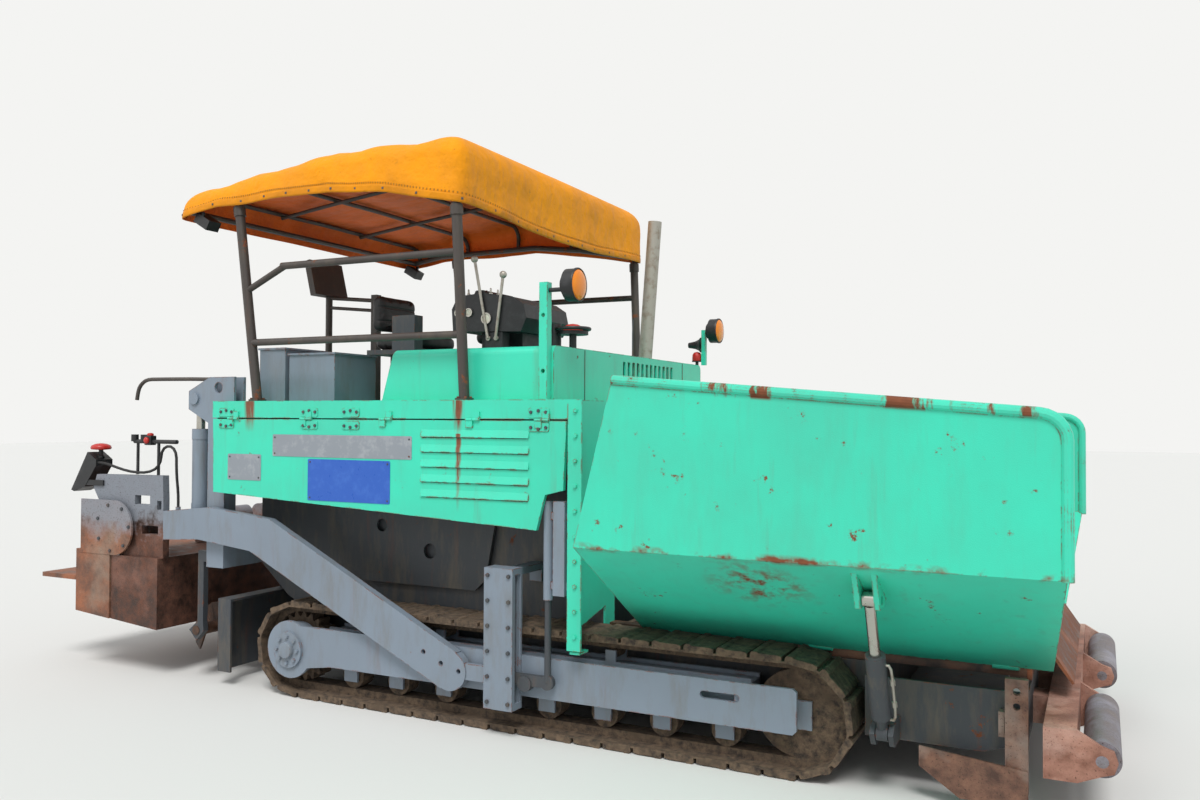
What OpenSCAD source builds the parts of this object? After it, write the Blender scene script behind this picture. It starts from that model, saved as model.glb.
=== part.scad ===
// Tracked asphalt paver, parked with its hopper wings lowered and its screed raised.
// Millimetres. +X is the front, +Y the left side, +Z up. z = 0 is the ground and
// x = 0 the middle of the overall length. Handed pieces are drawn on the left side
// (positive Y) and mirrored to the right.

/* [Body] */
// Width over the closed side doors
body_w = 2500; // [2480:10:2600]
// Height of the deck above the ground
deck_z = 1840; // [1800:10:1900]
// Rear end of the body and of the chassis
body_rear_x = -1740; // [-1780:10:-1720]
// Front face of the bulkhead behind the hopper
bulkhead_x = 850; // [840:5:880]
// Thickness of the body's panels with their folded edges
panel_t = 12; // [8:1:16]
// Height of the fixed strip between the doors and the deck
strip_h = 105; // [90:5:130]
// Thickness of a side door with its folded edges
door_t = 26; // [20:1:34]
// Gap round each side door
door_gap = 8; // [6:1:12]
// Number of louvre slots in a side door
louvres = 5; // [3:1:6]
// Height of the raised hood above the deck
hood_h = 300; // [260:10:330]
// Width of the raised hood
hood_w = 2240; // [2000:20:2260]
// Rear end of the hood at the deck
hood_rear_x = -490; // [-520:10:-440]
// Front face of the hood
hood_front_x = 680; // [650:10:740]

/* [Chassis] */
// Thickness of the chassis side plates
chassis_t = 20; // [15:1:30]
// Height of the chassis underside above the ground
belly_z = 260; // [240:10:300]

/* [Tracks] */
// Distance from the drive sprocket's axis to the idler's axis
track_base = 3185; // [3160:5:3200]
// Position of the drive sprocket's axis
sprocket_x = -1170; // [-1190:5:-1150]
// Outer radius of the track loop round its wheels
track_r = 300; // [290:2:310]
// Number of shoes on each track
shoes = 46; // [44:1:48]
// Length of a shoe along the track
shoe_l = 158; // [140:2:164]
// Width of a shoe
shoe_w = 300; // [280:5:320]
// Thickness of a shoe over its grouser
shoe_t = 32; // [26:1:36]
// Height of the link chain under the shoes
chain_h = 52; // [46:1:58]
// Width of the link chain
chain_w = 120; // [100:5:140]
// Radius of a track roller
roller_r = 78; // [66:1:84]
// Number of bottom rollers under each track frame
rollers = 8; // [6:1:9]
// Number of teeth on the drive sprocket
sprocket_teeth = 21; // [17:1:25]

/* [Hopper] */
// Gap between the hopper floor and the inner edge of each track
hopper_gap = 50; // [46:1:70]
// Height of the wing hinge axes
wing_hinge_z = 588; // [586:1:600]
// Distance of the wing crease from the machine's middle plane, wing lowered
wing_crease_y = 1620; // [1600:10:1640]
// Height of the wing crease, wing lowered
wing_crease_z = 1125; // [1110:5:1150]
// Rear end of the wing at its crease
wing_rear_x = 1070; // [1040:5:1100]
// Length of the wing along its crease
wing_l = 2160; // [2120:5:2170]
// Fall of the wing's top edge towards the front, in degrees
wing_top_fall = 4.7; // [3:0.1:6]
// Height of the wing's top edge at its front end
wing_front_top_z = 1770; // [1720:10:1800]
// Thickness of the wing's plates
wing_t = 14; // [10:1:20]
// Radius of the tube rolled round the wing's top and front edges
rim_r = 24; // [18:1:30]
// Spacing of the conveyor slats
slat_pitch = 150; // [120:5:200]

/* [Front] */
// Width over the front frame
front_w = 2020; // [1960:10:2060]
// Length of the front frame ahead of the chassis
front_l = 720; // [700:5:740]
// Distance from the front frame to the push rollers' axis
push_reach = 295; // [285:1:305]
// Height of the push rollers' axis
push_roller_z = 331; // [320:1:340]
// Radius of a push roller
push_roller_r = 75; // [70:1:80]
// Length of a push roller
push_roller_l = 820; // [760:10:860]

/* [Tow and screed] */
// Width inside a tow guide
guide_slot = 60; // [58:1:66]
// Height of the tow pin, screed raised
tow_z = 330; // [315:5:345]
// Position of the tow pin in its guide
tow_x = 418; // [410:2:426]
// Thickness of a tow arm
arm_t = 50; // [40:2:54]
// Depth of the sloping part of a tow arm
arm_h = 236; // [220:2:250]
// Distance from the middle of a tow arm to the end of the fixed screed
screed_end = 50; // [46:1:60]
// Front face of the screed
screed_front_x = -2241; // [-2250:1:-2235]
// Length of the fixed screed from front to rear
screed_l = 446; // [430:2:460]
// Length of a screed extension from front to rear
extension_l = 340; // [320:5:360]
// Height of the screed plate's front edge, screed raised
screed_plate_z = 330; // [320:2:345]
// Slope of the raised screed plate in degrees
screed_tilt = 4.8; // [4:0.1:5.5]
// Radius of an extension's guide tube
guide_tube_r = 70; // [60:1:80]
// Depth of the rear step
step_l = 357; // [320:1:360]

/* [Augers] */
// Position of the auger axis
auger_x = -1990; // [-1995:1:-1985]
// Height of the auger axis
auger_z = 335; // [330:1:345]
// Radius over the auger flights
auger_r = 160; // [150:1:164]
// Distance that one turn of the flight advances
auger_pitch = 260; // [220:10:320]

/* [Canopy] */
// Width over the canopy
canopy_w = 2500; // [2440:10:2540]
// Rear end of the canopy
canopy_rear_x = -2077; // [-2100:1:-2050]
// Front end of the canopy
canopy_front_x = 150; // [130:5:170]
// Height of the canopy's lower edge at the rear
hem_rear_z = 3040; // [3000:10:3080]
// Height of the canopy's lower edge at the front
hem_front_z = 2950; // [2920:10:2980]
// Height of the canopy's lower edge where its sides arch up
hem_mid_z = 3100; // [3060:5:3110]
// Height of the cover's top at the rear
roof_rear_z = 3225; // [3200:5:3260]
// Height of the cover's top
roof_z = 3372; // [3340:2:3400]
// Thickness of the cover in this model
cover_t = 12; // [8:1:20]
// Radius of the posts and rails
post_r = 30; // [24:1:34]

/* [Hidden] */
$fn = 48;

// Colours
mint = "#45DDBB";
steel = "#7D8A99";
dark = "#33383C";
rust = "#7A4B34";
earth = "#6E5D4C";
tarp = "#F5A81C";
black = "#1D1F21";
amber = "#FF9A1A";
red = "#C32B24";
pale = "#C9C9C4";

// Clearances
seat_gap = 0.3;
pin_gap = 0.08;
free_gap = 6;

body_y = body_w / 2;
hood_z = deck_z + hood_h;
// Across the machine, from the side doors inwards: tow guide, track frame, track, chassis
guide_in_t = 15;
guide_out_t = 30;
guide_y1 = body_y - 25;
guide_y0 = guide_y1 - guide_slot - guide_in_t;
frame_plate_t = 20;
frame_y = guide_y0 - frame_plate_t;
track_y = frame_y - shoe_w / 2;
track_gap = 15;
chassis_y = frame_y - shoe_w - track_gap;
hopper_floor_w = 2 * (frame_y - shoe_w - hopper_gap);
// Tow arms lie inside the side doors' plane, and the screed's ends and the rear towers follow them
arm_y = body_y - 60;
screed_y = arm_y + screed_end;
tower_y1 = arm_y - 40;
// Along the machine, from the drive sprocket forwards: idler, chassis front, front frame, push rollers
idler_x = sprocket_x + track_base;
chassis_front_x = idler_x + track_r + track_gap;
front_frame_x = chassis_front_x + front_l;
push_roller_x = front_frame_x + push_reach;

// Drawing helpers
module plate_xz(y, t) translate([0, y + t, 0]) rotate([90, 0, 0]) linear_extrude(t) children();
module prism_yz(x, l) translate([x, 0, 0]) rotate([90, 0, 90]) linear_extrude(l) children();
module rod_y(x, z, r, y, l) translate([x, y, z]) rotate([-90, 0, 0]) cylinder(r = r, h = l);
module rod_x(y, z, r, x, l) translate([x, y, z]) rotate([0, 90, 0]) cylinder(r = r, h = l);
module block(lo, hi) translate(lo) cube(hi - lo);
module tube_between(a, b, r) {
    d = b - a;
    translate(a) rotate([0, acos(d[2] / norm(d)), atan2(d[1], d[0])]) rotate(37) cylinder(r = r, h = norm(d));
}
module right_side() mirror([0, 1, 0]) children();
module both_sides() {
    children();
    right_side() children();
}
function arc(c, r, from, to, n = 6) =
    [for (i = [0:n]) let (a = from + (to - from) * i / n) c + r * [cos(a), sin(a)]];
// A closed skin over a list of rings, which all have as many points
module sweep(rings) {
    n = len(rings[0]);
    last = (len(rings) - 1) * n;
    polyhedron(
        points = [for (ring = rings) each ring],
        faces = concat([[for (i = [0:n - 1]) i]],
            [for (j = [0:len(rings) - 2], i = [0:n - 1]) let (a = j * n + i, b = j * n + (i + 1) % n)
                each [[b + n, b, a], [a + n, b + n, a]]],
            [[for (i = [0:n - 1]) last + n - 1 - i]]),
        convexity = 6);
}
function unit(v) = v / norm(v);
// Heading of a route at its point i, halfway between the stretches that meet there
function heading(route, i) = let (a = max(i, 1), b = min(i + 1, len(route) - 1))
    unit(unit(route[a] - route[a - 1]) + unit(route[b] - route[b - 1]));
// Rings of a tube of radius r along a route that never runs straight along the direction across
function tube_rings(route, r, sides, across = [0, 1, 0]) = [for (i = [0:len(route) - 1]) let (
    t = heading(route, i),
    u = unit(cross(across, t)), v = cross(t, u))
    [for (k = [0:sides - 1]) route[i] + r * (cos(360 * k / sides) * u + sin(360 * k / sides) * v)]];

// Chassis: two side plates with a belly pan and cross walls, and the drilled outer brackets
chassis_top_z = deck_z - panel_t;
tunnel_z = 540;
mouth_top_z = 910;
bracket_plate_t = 16;
module chassis_side() polygon([
    [body_rear_x, chassis_top_z], [bulkhead_x - panel_t, chassis_top_z], [bulkhead_x - panel_t, tunnel_z],
    [chassis_front_x, tunnel_z], [chassis_front_x, belly_z], [sprocket_x + 270, belly_z],
    [sprocket_x - 330, 560], [body_rear_x, 760]]);
module bracket_outline() difference() {
    polygon([[-1060, 1170], [-990, 828], [-827, 712], [1, 712], [75, 780], [150, 1170]]);
    translate([-696, 1066]) circle(40);
    translate([-328, 926]) circle(46);
}
module chassis() color(dark) {
    both_sides() {
        plate_xz(chassis_y - chassis_t, chassis_t) chassis_side();
        plate_xz(chassis_y + 20, bracket_plate_t) bracket_outline();
        for (x = [-900, -450, 0]) block([x, chassis_y, 1080], [x + 40, chassis_y + 20, 1150]);
    }
    inner_y = chassis_y - chassis_t;
    block([sprocket_x + 270, -inner_y, belly_z], [chassis_front_x, inner_y, belly_z + 12]);
    block([body_rear_x, -inner_y, 760], [body_rear_x + 20, inner_y, chassis_top_z]);
    block([bulkhead_x - panel_t - 20, -inner_y, mouth_top_z], [bulkhead_x - panel_t, inner_y, chassis_top_z]);
    block([chassis_front_x - 20, -inner_y, belly_z], [chassis_front_x, inner_y, tunnel_z - 40]);
}

// Front frame below the hopper, with the lugs of the wing cylinders
wing_cyl_x = chassis_front_x + 110;
wing_cyl_foot = [body_y - 100, 300];
lug_t = 24;
lug_gap = 60;
front_top_z = 520;
module front_frame() color(dark) {
    half = front_w / 2;
    both_sides() {
        plate_xz(half - 20, 20) polygon([[chassis_front_x, 235], [front_frame_x - 190, 235], [front_frame_x, 300],
            [front_frame_x, front_top_z], [chassis_front_x, front_top_z]]);
        for (x = [wing_cyl_x - lug_gap / 2 - lug_t, wing_cyl_x + lug_gap / 2])
            prism_yz(x, lug_t) difference() {
                polygon([[half, 240], [wing_cyl_foot[0], 240], [wing_cyl_foot[0] + 45, 300],
                    [wing_cyl_foot[0], 345], [half, 350]]);
                translate(wing_cyl_foot) circle(20 + pin_gap);
            }
    }
    block([chassis_front_x, 20 - half, 235], [chassis_front_x + 20, half - 20, tunnel_z - 40]);
    block([front_frame_x - 20, 20 - half, 300], [front_frame_x, half - 20, front_top_z]);
    block([chassis_front_x + 20, 20 - half, 235], [front_frame_x - 190, half - 20, 247]);
}

// Hopper floor: two sheets over the conveyors' return run, side sills and the middle guard
floor_z = 548;
sill_w = 90;
module hopper_floor() color(rust) {
    half = hopper_floor_w / 2;
    front_x = front_frame_x - apron_t - seat_gap;
    block([bulkhead_x, -half + sill_w, tunnel_z - 6], [front_x, half - sill_w, tunnel_z + 6]);
    both_sides()
        block([bulkhead_x, half - sill_w, tunnel_z - 6], [front_x, half - hinge_r - seat_gap, wing_hinge_z]);
    prism_yz(bulkhead_x, front_x - bulkhead_x) polygon([[-60, tunnel_z + 6], [-25, tunnel_z + 80],
        [25, tunnel_z + 80], [60, tunnel_z + 6]]);
}

// Slat conveyors: two roller chains a side with bars across them, on the hopper floor
slat_h = 22;
slat_rear_x = bulkhead_x + 10;
slats = floor((front_frame_x - 40 - slat_rear_x) / slat_pitch);
module conveyors() color(steel) both_sides() {
    y0 = 75;
    y1 = hopper_floor_w / 2 - sill_w - 15;
    z0 = tunnel_z + 6;
    for (y = [y0, y1 - 30]) block([slat_rear_x, y, z0], [front_frame_x - 40, y + 30, z0 + 16]);
    for (i = [0:slats - 1])
        block([slat_rear_x + 30 + i * slat_pitch, y0 + 30, z0], [slat_rear_x + 62 + i * slat_pitch, y1 - 30, z0 + slat_h]);
}

module engine_block() color(dark)
    block([-420, -430, belly_z + 12 + seat_gap], [560, 430, 1700]);

// Body shell: deck, fixed strips over the doors, rear wall and the frames that carry them
strip_z = deck_z - strip_h;
door_hinges = [-1600, -1000, -400, 200, 640];
hinge_out = 7;
hinge_pin_r = 7.5;
module body_shell() color(mint) {
    block([body_rear_x, -body_y, deck_z - panel_t], [bulkhead_x - panel_t, body_y, deck_z]);
    both_sides() {
        block([body_rear_x, body_y - panel_t, strip_z], [bulkhead_x - panel_t, body_y, deck_z - panel_t]);
        block([body_rear_x, chassis_y, 1265], [body_rear_x + panel_t, body_y - door_t - free_gap, strip_z]);
        block([body_rear_x, chassis_y, strip_z], [body_rear_x + panel_t, body_y - panel_t, deck_z - panel_t]);
        for (x = door_hinges) {
            rod_x(body_y + hinge_out, strip_z - door_gap / 2, hinge_pin_r, x + 46, 44);
            block([x + 46, body_y, strip_z - door_gap / 2], [x + 90, body_y + hinge_out + 3, strip_z + 40]);
        }
        for (x = [-880, -60])
            block([x, chassis_y, 1400], [x + panel_t, body_y - door_t - 14, deck_z - panel_t]);
    }
}

// Front bulkhead: the wall behind the hopper with a folded flange down each side
bulkhead_foot_z = 525;
foot_y = frame_y + free_gap;
track_top_z = 2 * track_r;
module front_bulkhead() color(mint) {
    difference() {
        prism_yz(bulkhead_x - panel_t, panel_t) polygon([
            [-body_y, deck_z], [body_y, deck_z], [body_y, bulkhead_foot_z], [foot_y, bulkhead_foot_z - 25],
            [foot_y, track_top_z + 20], [chassis_y, 690], [chassis_y, tunnel_z + 10], [-chassis_y, tunnel_z + 10],
            [-chassis_y, 690], [-foot_y, track_top_z + 20], [-foot_y, bulkhead_foot_z - 25], [-body_y, bulkhead_foot_z]]);
        for (s = [-1, 1])
            block([bulkhead_x - 20, s * 385 - 310, tunnel_z + 5], [bulkhead_x + 10, s * 385 + 310, mouth_top_z - 10]);
        // hand hole beside each flange
        for (s = [-1, 1]) block([bulkhead_x - 20, s * (body_y - 90) - 25, 1525], [bulkhead_x + 10, s * (body_y - 90) + 25, 1640]);
    }
    both_sides() {
        block([bulkhead_x, body_y - panel_t, bulkhead_foot_z], [bulkhead_x + 70, body_y, deck_z]);
        // rib across the foot, and the clip near it
        block([bulkhead_x, foot_y + 4, bulkhead_foot_z - 20], [bulkhead_x + 60, body_y - panel_t, bulkhead_foot_z - 8]);
        block([bulkhead_x, body_y - 80, 560], [bulkhead_x + 22, body_y - 50, 620]);
    }
}

// Raised hood with a grille in its front face
grille_w = 840;
grille_slots = 12;
module hood_side(inset) polygon([
    [hood_rear_x + inset, deck_z - inset], [hood_rear_x + 85 + inset * 1.2, hood_z - inset],
    [hood_front_x - inset, hood_z - inset], [hood_front_x - inset, deck_z - inset]]);
hood_corner_r = 40;
module hood_front(inset) polygon(concat([[inset - hood_w / 2, deck_z - panel_t]],
    arc([hood_corner_r - hood_w / 2, hood_z - hood_corner_r], hood_corner_r - inset, 180, 90),
    arc([hood_w / 2 - hood_corner_r, hood_z - hood_corner_r], hood_corner_r - inset, 90, 0),
    [[hood_w / 2 - inset, deck_z - panel_t]]));
module hood_solid(inset) intersection() {
    plate_xz(-hood_w / 2, hood_w) hood_side(inset);
    prism_yz(hood_rear_x, hood_front_x - hood_rear_x) hood_front(inset);
}
module engine_hood() color(mint) difference() {
    hood_solid(0);
    hood_solid(panel_t);
    for (i = [0:grille_slots - 1])
        translate([hood_front_x - 30, -250 + (i + 0.25) * grille_w / grille_slots, hood_z - 130])
            cube([60, grille_w / grille_slots / 2, 85]);
    translate([500, 500, hood_z - 60]) cylinder(r = 58, h = 100);
}

// Side door with folded louvres, hinged along its top edge
door_top_z = strip_z - door_gap;
louvre_x = -99;
louvre_l = 696;
louvre_top_z = 1660;
louvre_pitch = 84;
louvre_h = 32;
module door_outline() polygon([
    [body_rear_x + 4, door_top_z], [body_rear_x + 12, 1262], [650, 1142], [703, 1333],
    [bulkhead_x - panel_t - 26, 1360], [bulkhead_x - panel_t - 8, door_top_z]]);
module side_door() color(mint) {
    difference() {
        plate_xz(body_y - door_t, door_t) door_outline();
        for (i = [0:louvres - 1])
            translate([louvre_x, body_y - door_t - 1, louvre_top_z - louvre_h - i * louvre_pitch])
                cube([louvre_l, door_t + 2, louvre_h]);
    }
    // hinge leaves with their knuckles
    for (x = door_hinges) {
        rod_x(body_y + hinge_out, strip_z - door_gap / 2, hinge_pin_r, x, 44);
        block([x, body_y - 1, door_top_z - 40], [x + 44, body_y + hinge_out + 3, strip_z - door_gap / 2]);
    }
    for (i = [0:louvres - 1])
        translate([0, 0, louvre_top_z - i * louvre_pitch]) prism_yz(louvre_x - 6, louvre_l + 12)
            polygon([[body_y - 5, 4], [body_y - 5, 14], [body_y, 14], [body_y + 10, 4 - louvre_h], [body_y + 4, 4 - louvre_h]]);
}
module side_door_left() side_door();
module side_door_right() right_side() side_door();

// Tracks
pin_r = track_r - shoe_t;
wheel_r = pin_r - chain_h - seat_gap;
loop_l = 2 * track_base + 2 * PI * pin_r;
shoe_pitch = loop_l / shoes;
half_turn = PI * pin_r;
// Place of a pin on the loop at distance s along it, from below the sprocket forwards
function loop_at(s) =
    s < track_base ? [sprocket_x + s, track_r - pin_r] :
    s < track_base + half_turn ? let (a = (s - track_base) / pin_r * 180 / PI)
        [idler_x + pin_r * sin(a), track_r - pin_r * cos(a)] :
    s < 2 * track_base + half_turn ? [idler_x - (s - track_base - half_turn), track_r + pin_r] :
    let (a = 180 + (s - 2 * track_base - half_turn) / pin_r * 180 / PI)
        [sprocket_x + pin_r * sin(a), track_r - pin_r * cos(a)];
module loop_shape(r) {
    for (x = [sprocket_x, idler_x]) translate([x, track_r]) circle(r);
    translate([sprocket_x, track_r - r]) square([track_base, 2 * r]);
}
module shoe_shape() polygon([
    [-shoe_l / 2, 6], [-shoe_l / 2, -shoe_t + 12], [-shoe_l / 2 + 24, -shoe_t + 6], [shoe_l / 2 - 44, -shoe_t + 6],
    [shoe_l / 2 - 34, -shoe_t], [shoe_l / 2 - 8, -shoe_t], [shoe_l / 2, -shoe_t + 10], [shoe_l / 2, 6]]);
module track() color(earth) {
    plate_xz(track_y - shoe_w / 2, shoe_w) {
        difference() {
            loop_shape(pin_r);
            loop_shape(pin_r - 10);
        }
        for (i = [0:shoes - 1]) let (
            a = loop_at((i + 0.3) * shoe_pitch), b = loop_at(((i + 1.3) * shoe_pitch) % loop_l))
            translate((a + b) / 2) rotate(atan2(b[1] - a[1], b[0] - a[0])) shoe_shape();
    }
    plate_xz(track_y - chain_w / 2, chain_w) difference() {
        loop_shape(pin_r - 4);
        loop_shape(pin_r - chain_h);
    }
}
module track_left() track();
module track_right() right_side() track();

// Track wheels: toothed sprocket, idler, bottom rollers and two carrier rollers
roller_w = chain_w - 20;
roller_x0 = -760;
roller_x1 = 1640;
roller_z = track_r - pin_r + chain_h + seat_gap + roller_r;
frame_beam_z = 300;
frame_top_z = 445;
carrier_r = 30;
carrier_z = track_r + wheel_r - carrier_r;
axle_r = 24;
beam_y0 = track_y - 90;
function roller_x(i) = roller_x0 + (roller_x1 - roller_x0) * i / (rollers - 1);
carriers = [-100, 1000];
module track_wheels() color(earth) both_sides() {
    teeth = 4 * sprocket_teeth;
    plate_xz(track_y - roller_w / 2, roller_w) translate([sprocket_x, track_r])
        polygon([for (i = [0:teeth - 1]) (i % 4 < 2 ? wheel_r : wheel_r - 30) * [cos(360 * i / teeth), sin(360 * i / teeth)]]);
    rod_y(idler_x, track_r, wheel_r, track_y - roller_w / 2, roller_w);
    rod_y(idler_x, track_r, 70, track_y - roller_w / 2 - 10, roller_w + 20);
    for (i = [0:rollers - 1]) {
        rod_y(roller_x(i), roller_z, roller_r, track_y - roller_w / 2, roller_w);
        rod_y(roller_x(i), roller_z, axle_r, track_y - roller_w / 2 - 10, roller_w + 20);
    }
    for (x = carriers) {
        rod_y(x, carrier_z, carrier_r, track_y - roller_w / 2, roller_w);
        rod_y(x, carrier_z, axle_r - 6, track_y - roller_w / 2 - 10, roller_w + 20);
    }
}

// Track frame: side plates outside and inside the rollers, a beam between them, hub cover
hub_r = 176;
beam_w = roller_w + 20;
module frame_outline() difference() {
    union() {
        polygon([[sprocket_x, track_r - 120], [sprocket_x + 330, 225], [idler_x, 225], [idler_x + 20, 245],
            [idler_x + 20, 430], [idler_x, frame_top_z], [760, frame_top_z], [sprocket_x + 300, 452],
            [sprocket_x, track_r + 150]]);
        translate([sprocket_x, track_r]) circle(hub_r);
    }
    for (x = [1560, 1730]) translate([x, 365]) circle(18);
    translate([1560, 347]) square([170, 36]);
}
module track_frames() color(steel) both_sides() {
    plate_xz(frame_y, frame_plate_t) frame_outline();
    for (y = [track_y - beam_w / 2 - 16, track_y + beam_w / 2])
        plate_xz(y, 16) {
            difference() {
                polygon([[sprocket_x + 240, frame_beam_z - 40], [idler_x - 235, frame_beam_z - 40],
                    [idler_x - 235, frame_top_z], [sprocket_x + 240, frame_top_z]]);
            }
            translate([idler_x - 235, track_r - 70]) square([305, 140]);
            for (i = [0:rollers - 1]) translate([roller_x(i) - 50, roller_z - 34]) square([100, frame_beam_z - roller_z]);
            for (x = carriers) translate([x - 30, frame_top_z - 5]) square([60, carrier_z - frame_top_z + 25]);
        }
    block([sprocket_x + 240, track_y - beam_w / 2, frame_beam_z], [idler_x - 235, track_y + beam_w / 2, frame_top_z - 20]);
    for (x = [sprocket_x + 260, 200, 1200, idler_x - 300])
        block([x, track_y + beam_w / 2 + 16, 300], [x + 60, frame_y, 420]);
    for (x = [-300, 1100]) block([x, chassis_y, 300], [x + 160, track_y - beam_w / 2 - 16, 420]);
    rod_y(sprocket_x, track_r, hub_r - 20, track_y + roller_w / 2 + 10, frame_y - track_y - roller_w / 2 - 10);
    rod_y(sprocket_x, track_r, 110, frame_y + frame_plate_t, 18);
    rod_y(sprocket_x, track_r, 110, chassis_y, track_y - roller_w / 2 - 10 - chassis_y);
}

// Hopper wing: floor and side folded at the crease, rolled tube on the top and front edges
wing_hinge_y = hopper_floor_w / 2;
wing_front_x = wing_rear_x + wing_l;
wing_slope = atan2(wing_crease_z - wing_hinge_z, wing_crease_y - wing_hinge_y);
wing_corner_r = 110;
hinge_r = 22;
wing_top_x = wing_rear_x + 200;
module wing_section() polygon([
    [wing_hinge_y + 10, wing_hinge_z - wing_t / 2], [wing_crease_y, wing_crease_z - wing_t / 2],
    [wing_crease_y, 2100], [wing_crease_y - wing_t, 2100], [wing_crease_y - wing_t, wing_crease_z + wing_t / 2],
    [wing_hinge_y + 10, wing_hinge_z + wing_t / 2 + 3]]);
wing_corner = [wing_front_x - wing_corner_r, wing_front_top_z - wing_corner_r];
// where the sloping top edge runs into the rounded front corner
wing_bend = wing_corner + wing_corner_r * [sin(wing_top_fall), cos(wing_top_fall)];
wing_rear_top_z = wing_bend[1] + (wing_bend[0] - wing_top_x) * tan(wing_top_fall);
module wing_side() polygon(concat(
    [[wing_rear_x, wing_hinge_z - 40], [wing_rear_x, wing_crease_z], [wing_top_x, wing_rear_top_z]],
    arc(wing_corner, wing_corner_r, 90 - wing_top_fall, 0),
    [[wing_front_x, wing_crease_z], [wing_front_x - 90, wing_hinge_z - 40]]));
wing_rim = [for (p = concat([[wing_top_x + 2, wing_rear_top_z]], arc(wing_corner, wing_corner_r, 90 - wing_top_fall, 0),
    [[wing_front_x, wing_crease_z - 10]])) [p[0], wing_crease_y - wing_t / 2, p[1]]];
lug_eye = [1450, 960];
module wing() color(mint) {
    intersection() {
        prism_yz(wing_rear_x - 10, wing_front_x - wing_rear_x + 20) wing_section();
        plate_xz(wing_hinge_y - 40, 1000) wing_side();
    }
    sweep(tube_rings(wing_rim, rim_r, 12));
    // hinge knuckles
    for (x = [wing_rear_x + 150, 2000, wing_front_x - 350])
        rod_x(wing_hinge_y, wing_hinge_z, hinge_r, x, 120);
    for (x = [wing_cyl_x - lug_gap / 2 - lug_t, wing_cyl_x + lug_gap / 2])
        prism_yz(x, lug_t) difference() {
            polygon([[lug_eye[0] - 45, lug_eye[1] - 35], [lug_eye[0] + 40, lug_eye[1] - 40],
                [lug_eye[0] + 120, wing_crease_z - 36], [lug_eye[0] - 90, lug_eye[1] - 12]]);
            translate(lug_eye) circle(20 + pin_gap);
        }
}
module wing_left() wing();
module wing_right() right_side() wing();

// Wing cylinder, drawn along its own axis and leaned from its foot pin to the wing's lug
cyl_vector = lug_eye - wing_cyl_foot;
cyl_l = norm(cyl_vector);
cyl_lean = atan2(cyl_vector[0], cyl_vector[1]);
cyl_r = 45;
cyl_rod_r = 25;
cyl_neck_r = 25;
cyl_barrel_l = 430;
module on_wing_cylinder() translate([wing_cyl_x, wing_cyl_foot[0], wing_cyl_foot[1]])
    rotate([-cyl_lean, 0, 0]) children();
module eye(r, bore_r, w) translate([-w / 2, 0, 0]) rotate([0, 90, 0]) difference() {
    cylinder(r = r, h = w);
    translate([0, 0, -1]) cylinder(r = bore_r, h = w + 2);
}
module wing_barrel() color(dark) on_wing_cylinder() {
    difference() {
        union() {
            cylinder(r = cyl_neck_r, h = 100);
            translate([0, 0, 92]) cylinder(r = cyl_r, h = cyl_barrel_l - 92);
        }
        translate([0, 0, 110]) cylinder(r = cyl_rod_r + pin_gap, h = cyl_barrel_l);
    }
    rotate([0, 90, 0]) cylinder(r = 38, h = lug_gap - 8, center = true);
    rotate([0, 90, 0]) cylinder(r = 20, h = lug_gap + 2 * lug_t, center = true);
}
module wing_barrel_left() wing_barrel();
module wing_barrel_right() right_side() wing_barrel();
module wing_rod() color(pale) on_wing_cylinder() {
    translate([0, 0, 120]) cylinder(r = cyl_rod_r, h = cyl_l - 120 - 30);
    translate([0, 0, cyl_l]) rotate([0, 90, 0]) cylinder(r = 34, h = lug_gap - 8, center = true);
}
module wing_rod_left() wing_rod();
module wing_rod_right() right_side() wing_rod();

// Push beam with its roller brackets
beam_x = front_frame_x + 70;
beam_l = 130;
beam_z0 = 250;
beam_z1 = 447;
beam_half = 1240;
push_y0 = beam_half - 40 - push_roller_l;
push_axle_r = 25;
module roller_bracket() difference() {
    polygon([[beam_x, beam_z0 - 20], [beam_x + beam_l, beam_z0 - 20], [push_roller_x, push_roller_z - 60],
        [push_roller_x + 45, push_roller_z - 45], [push_roller_x + 60, push_roller_z],
        [push_roller_x + 45, push_roller_z + 45], [push_roller_x, push_roller_z + 60],
        [beam_x + beam_l, beam_z1], [beam_x, beam_z1]]);
    translate([push_roller_x, push_roller_z]) circle(push_axle_r + pin_gap);
    translate([beam_x + beam_l / 2, (beam_z0 + beam_z1) / 2]) circle(46);
}
module push_beam() color(rust) {
    block([beam_x, -beam_half, beam_z0], [beam_x + beam_l, beam_half, beam_z1]);
    both_sides() for (y = [push_y0 - 40, beam_half - 28]) plate_xz(y, 28) roller_bracket();
    both_sides() block([front_frame_x, 500, 300], [beam_x, 660, 430]);
    block([front_frame_x, -200, 280], [beam_x, 200, 440]);
}
module push_roller() color(rust) {
    y0 = push_y0 - 12 + free_gap;
    y1 = beam_half - 28 - free_gap;
    rod_y(push_roller_x, push_roller_z, push_roller_r, y0, y1 - y0);
    rod_y(push_roller_x, push_roller_z, push_axle_r, push_y0 - 40, beam_half - push_y0 + 40);
}
module push_roller_left() push_roller();
module push_roller_right() right_side() push_roller();

// Sloping front apron of the hopper
apron_t = 20;
apron_w = hopper_floor_w - 2 * hinge_r - 20;
module apron() color(rust) {
    plate_xz(-apron_w / 2, apron_w) polygon([[front_frame_x - apron_t, front_top_z], [front_frame_x, front_top_z],
        [front_frame_x + 12, 745], [beam_x + 102, 520], [beam_x + 112, 527], [front_frame_x + 16, 770], [front_frame_x - apron_t, 770]]);
}

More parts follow.
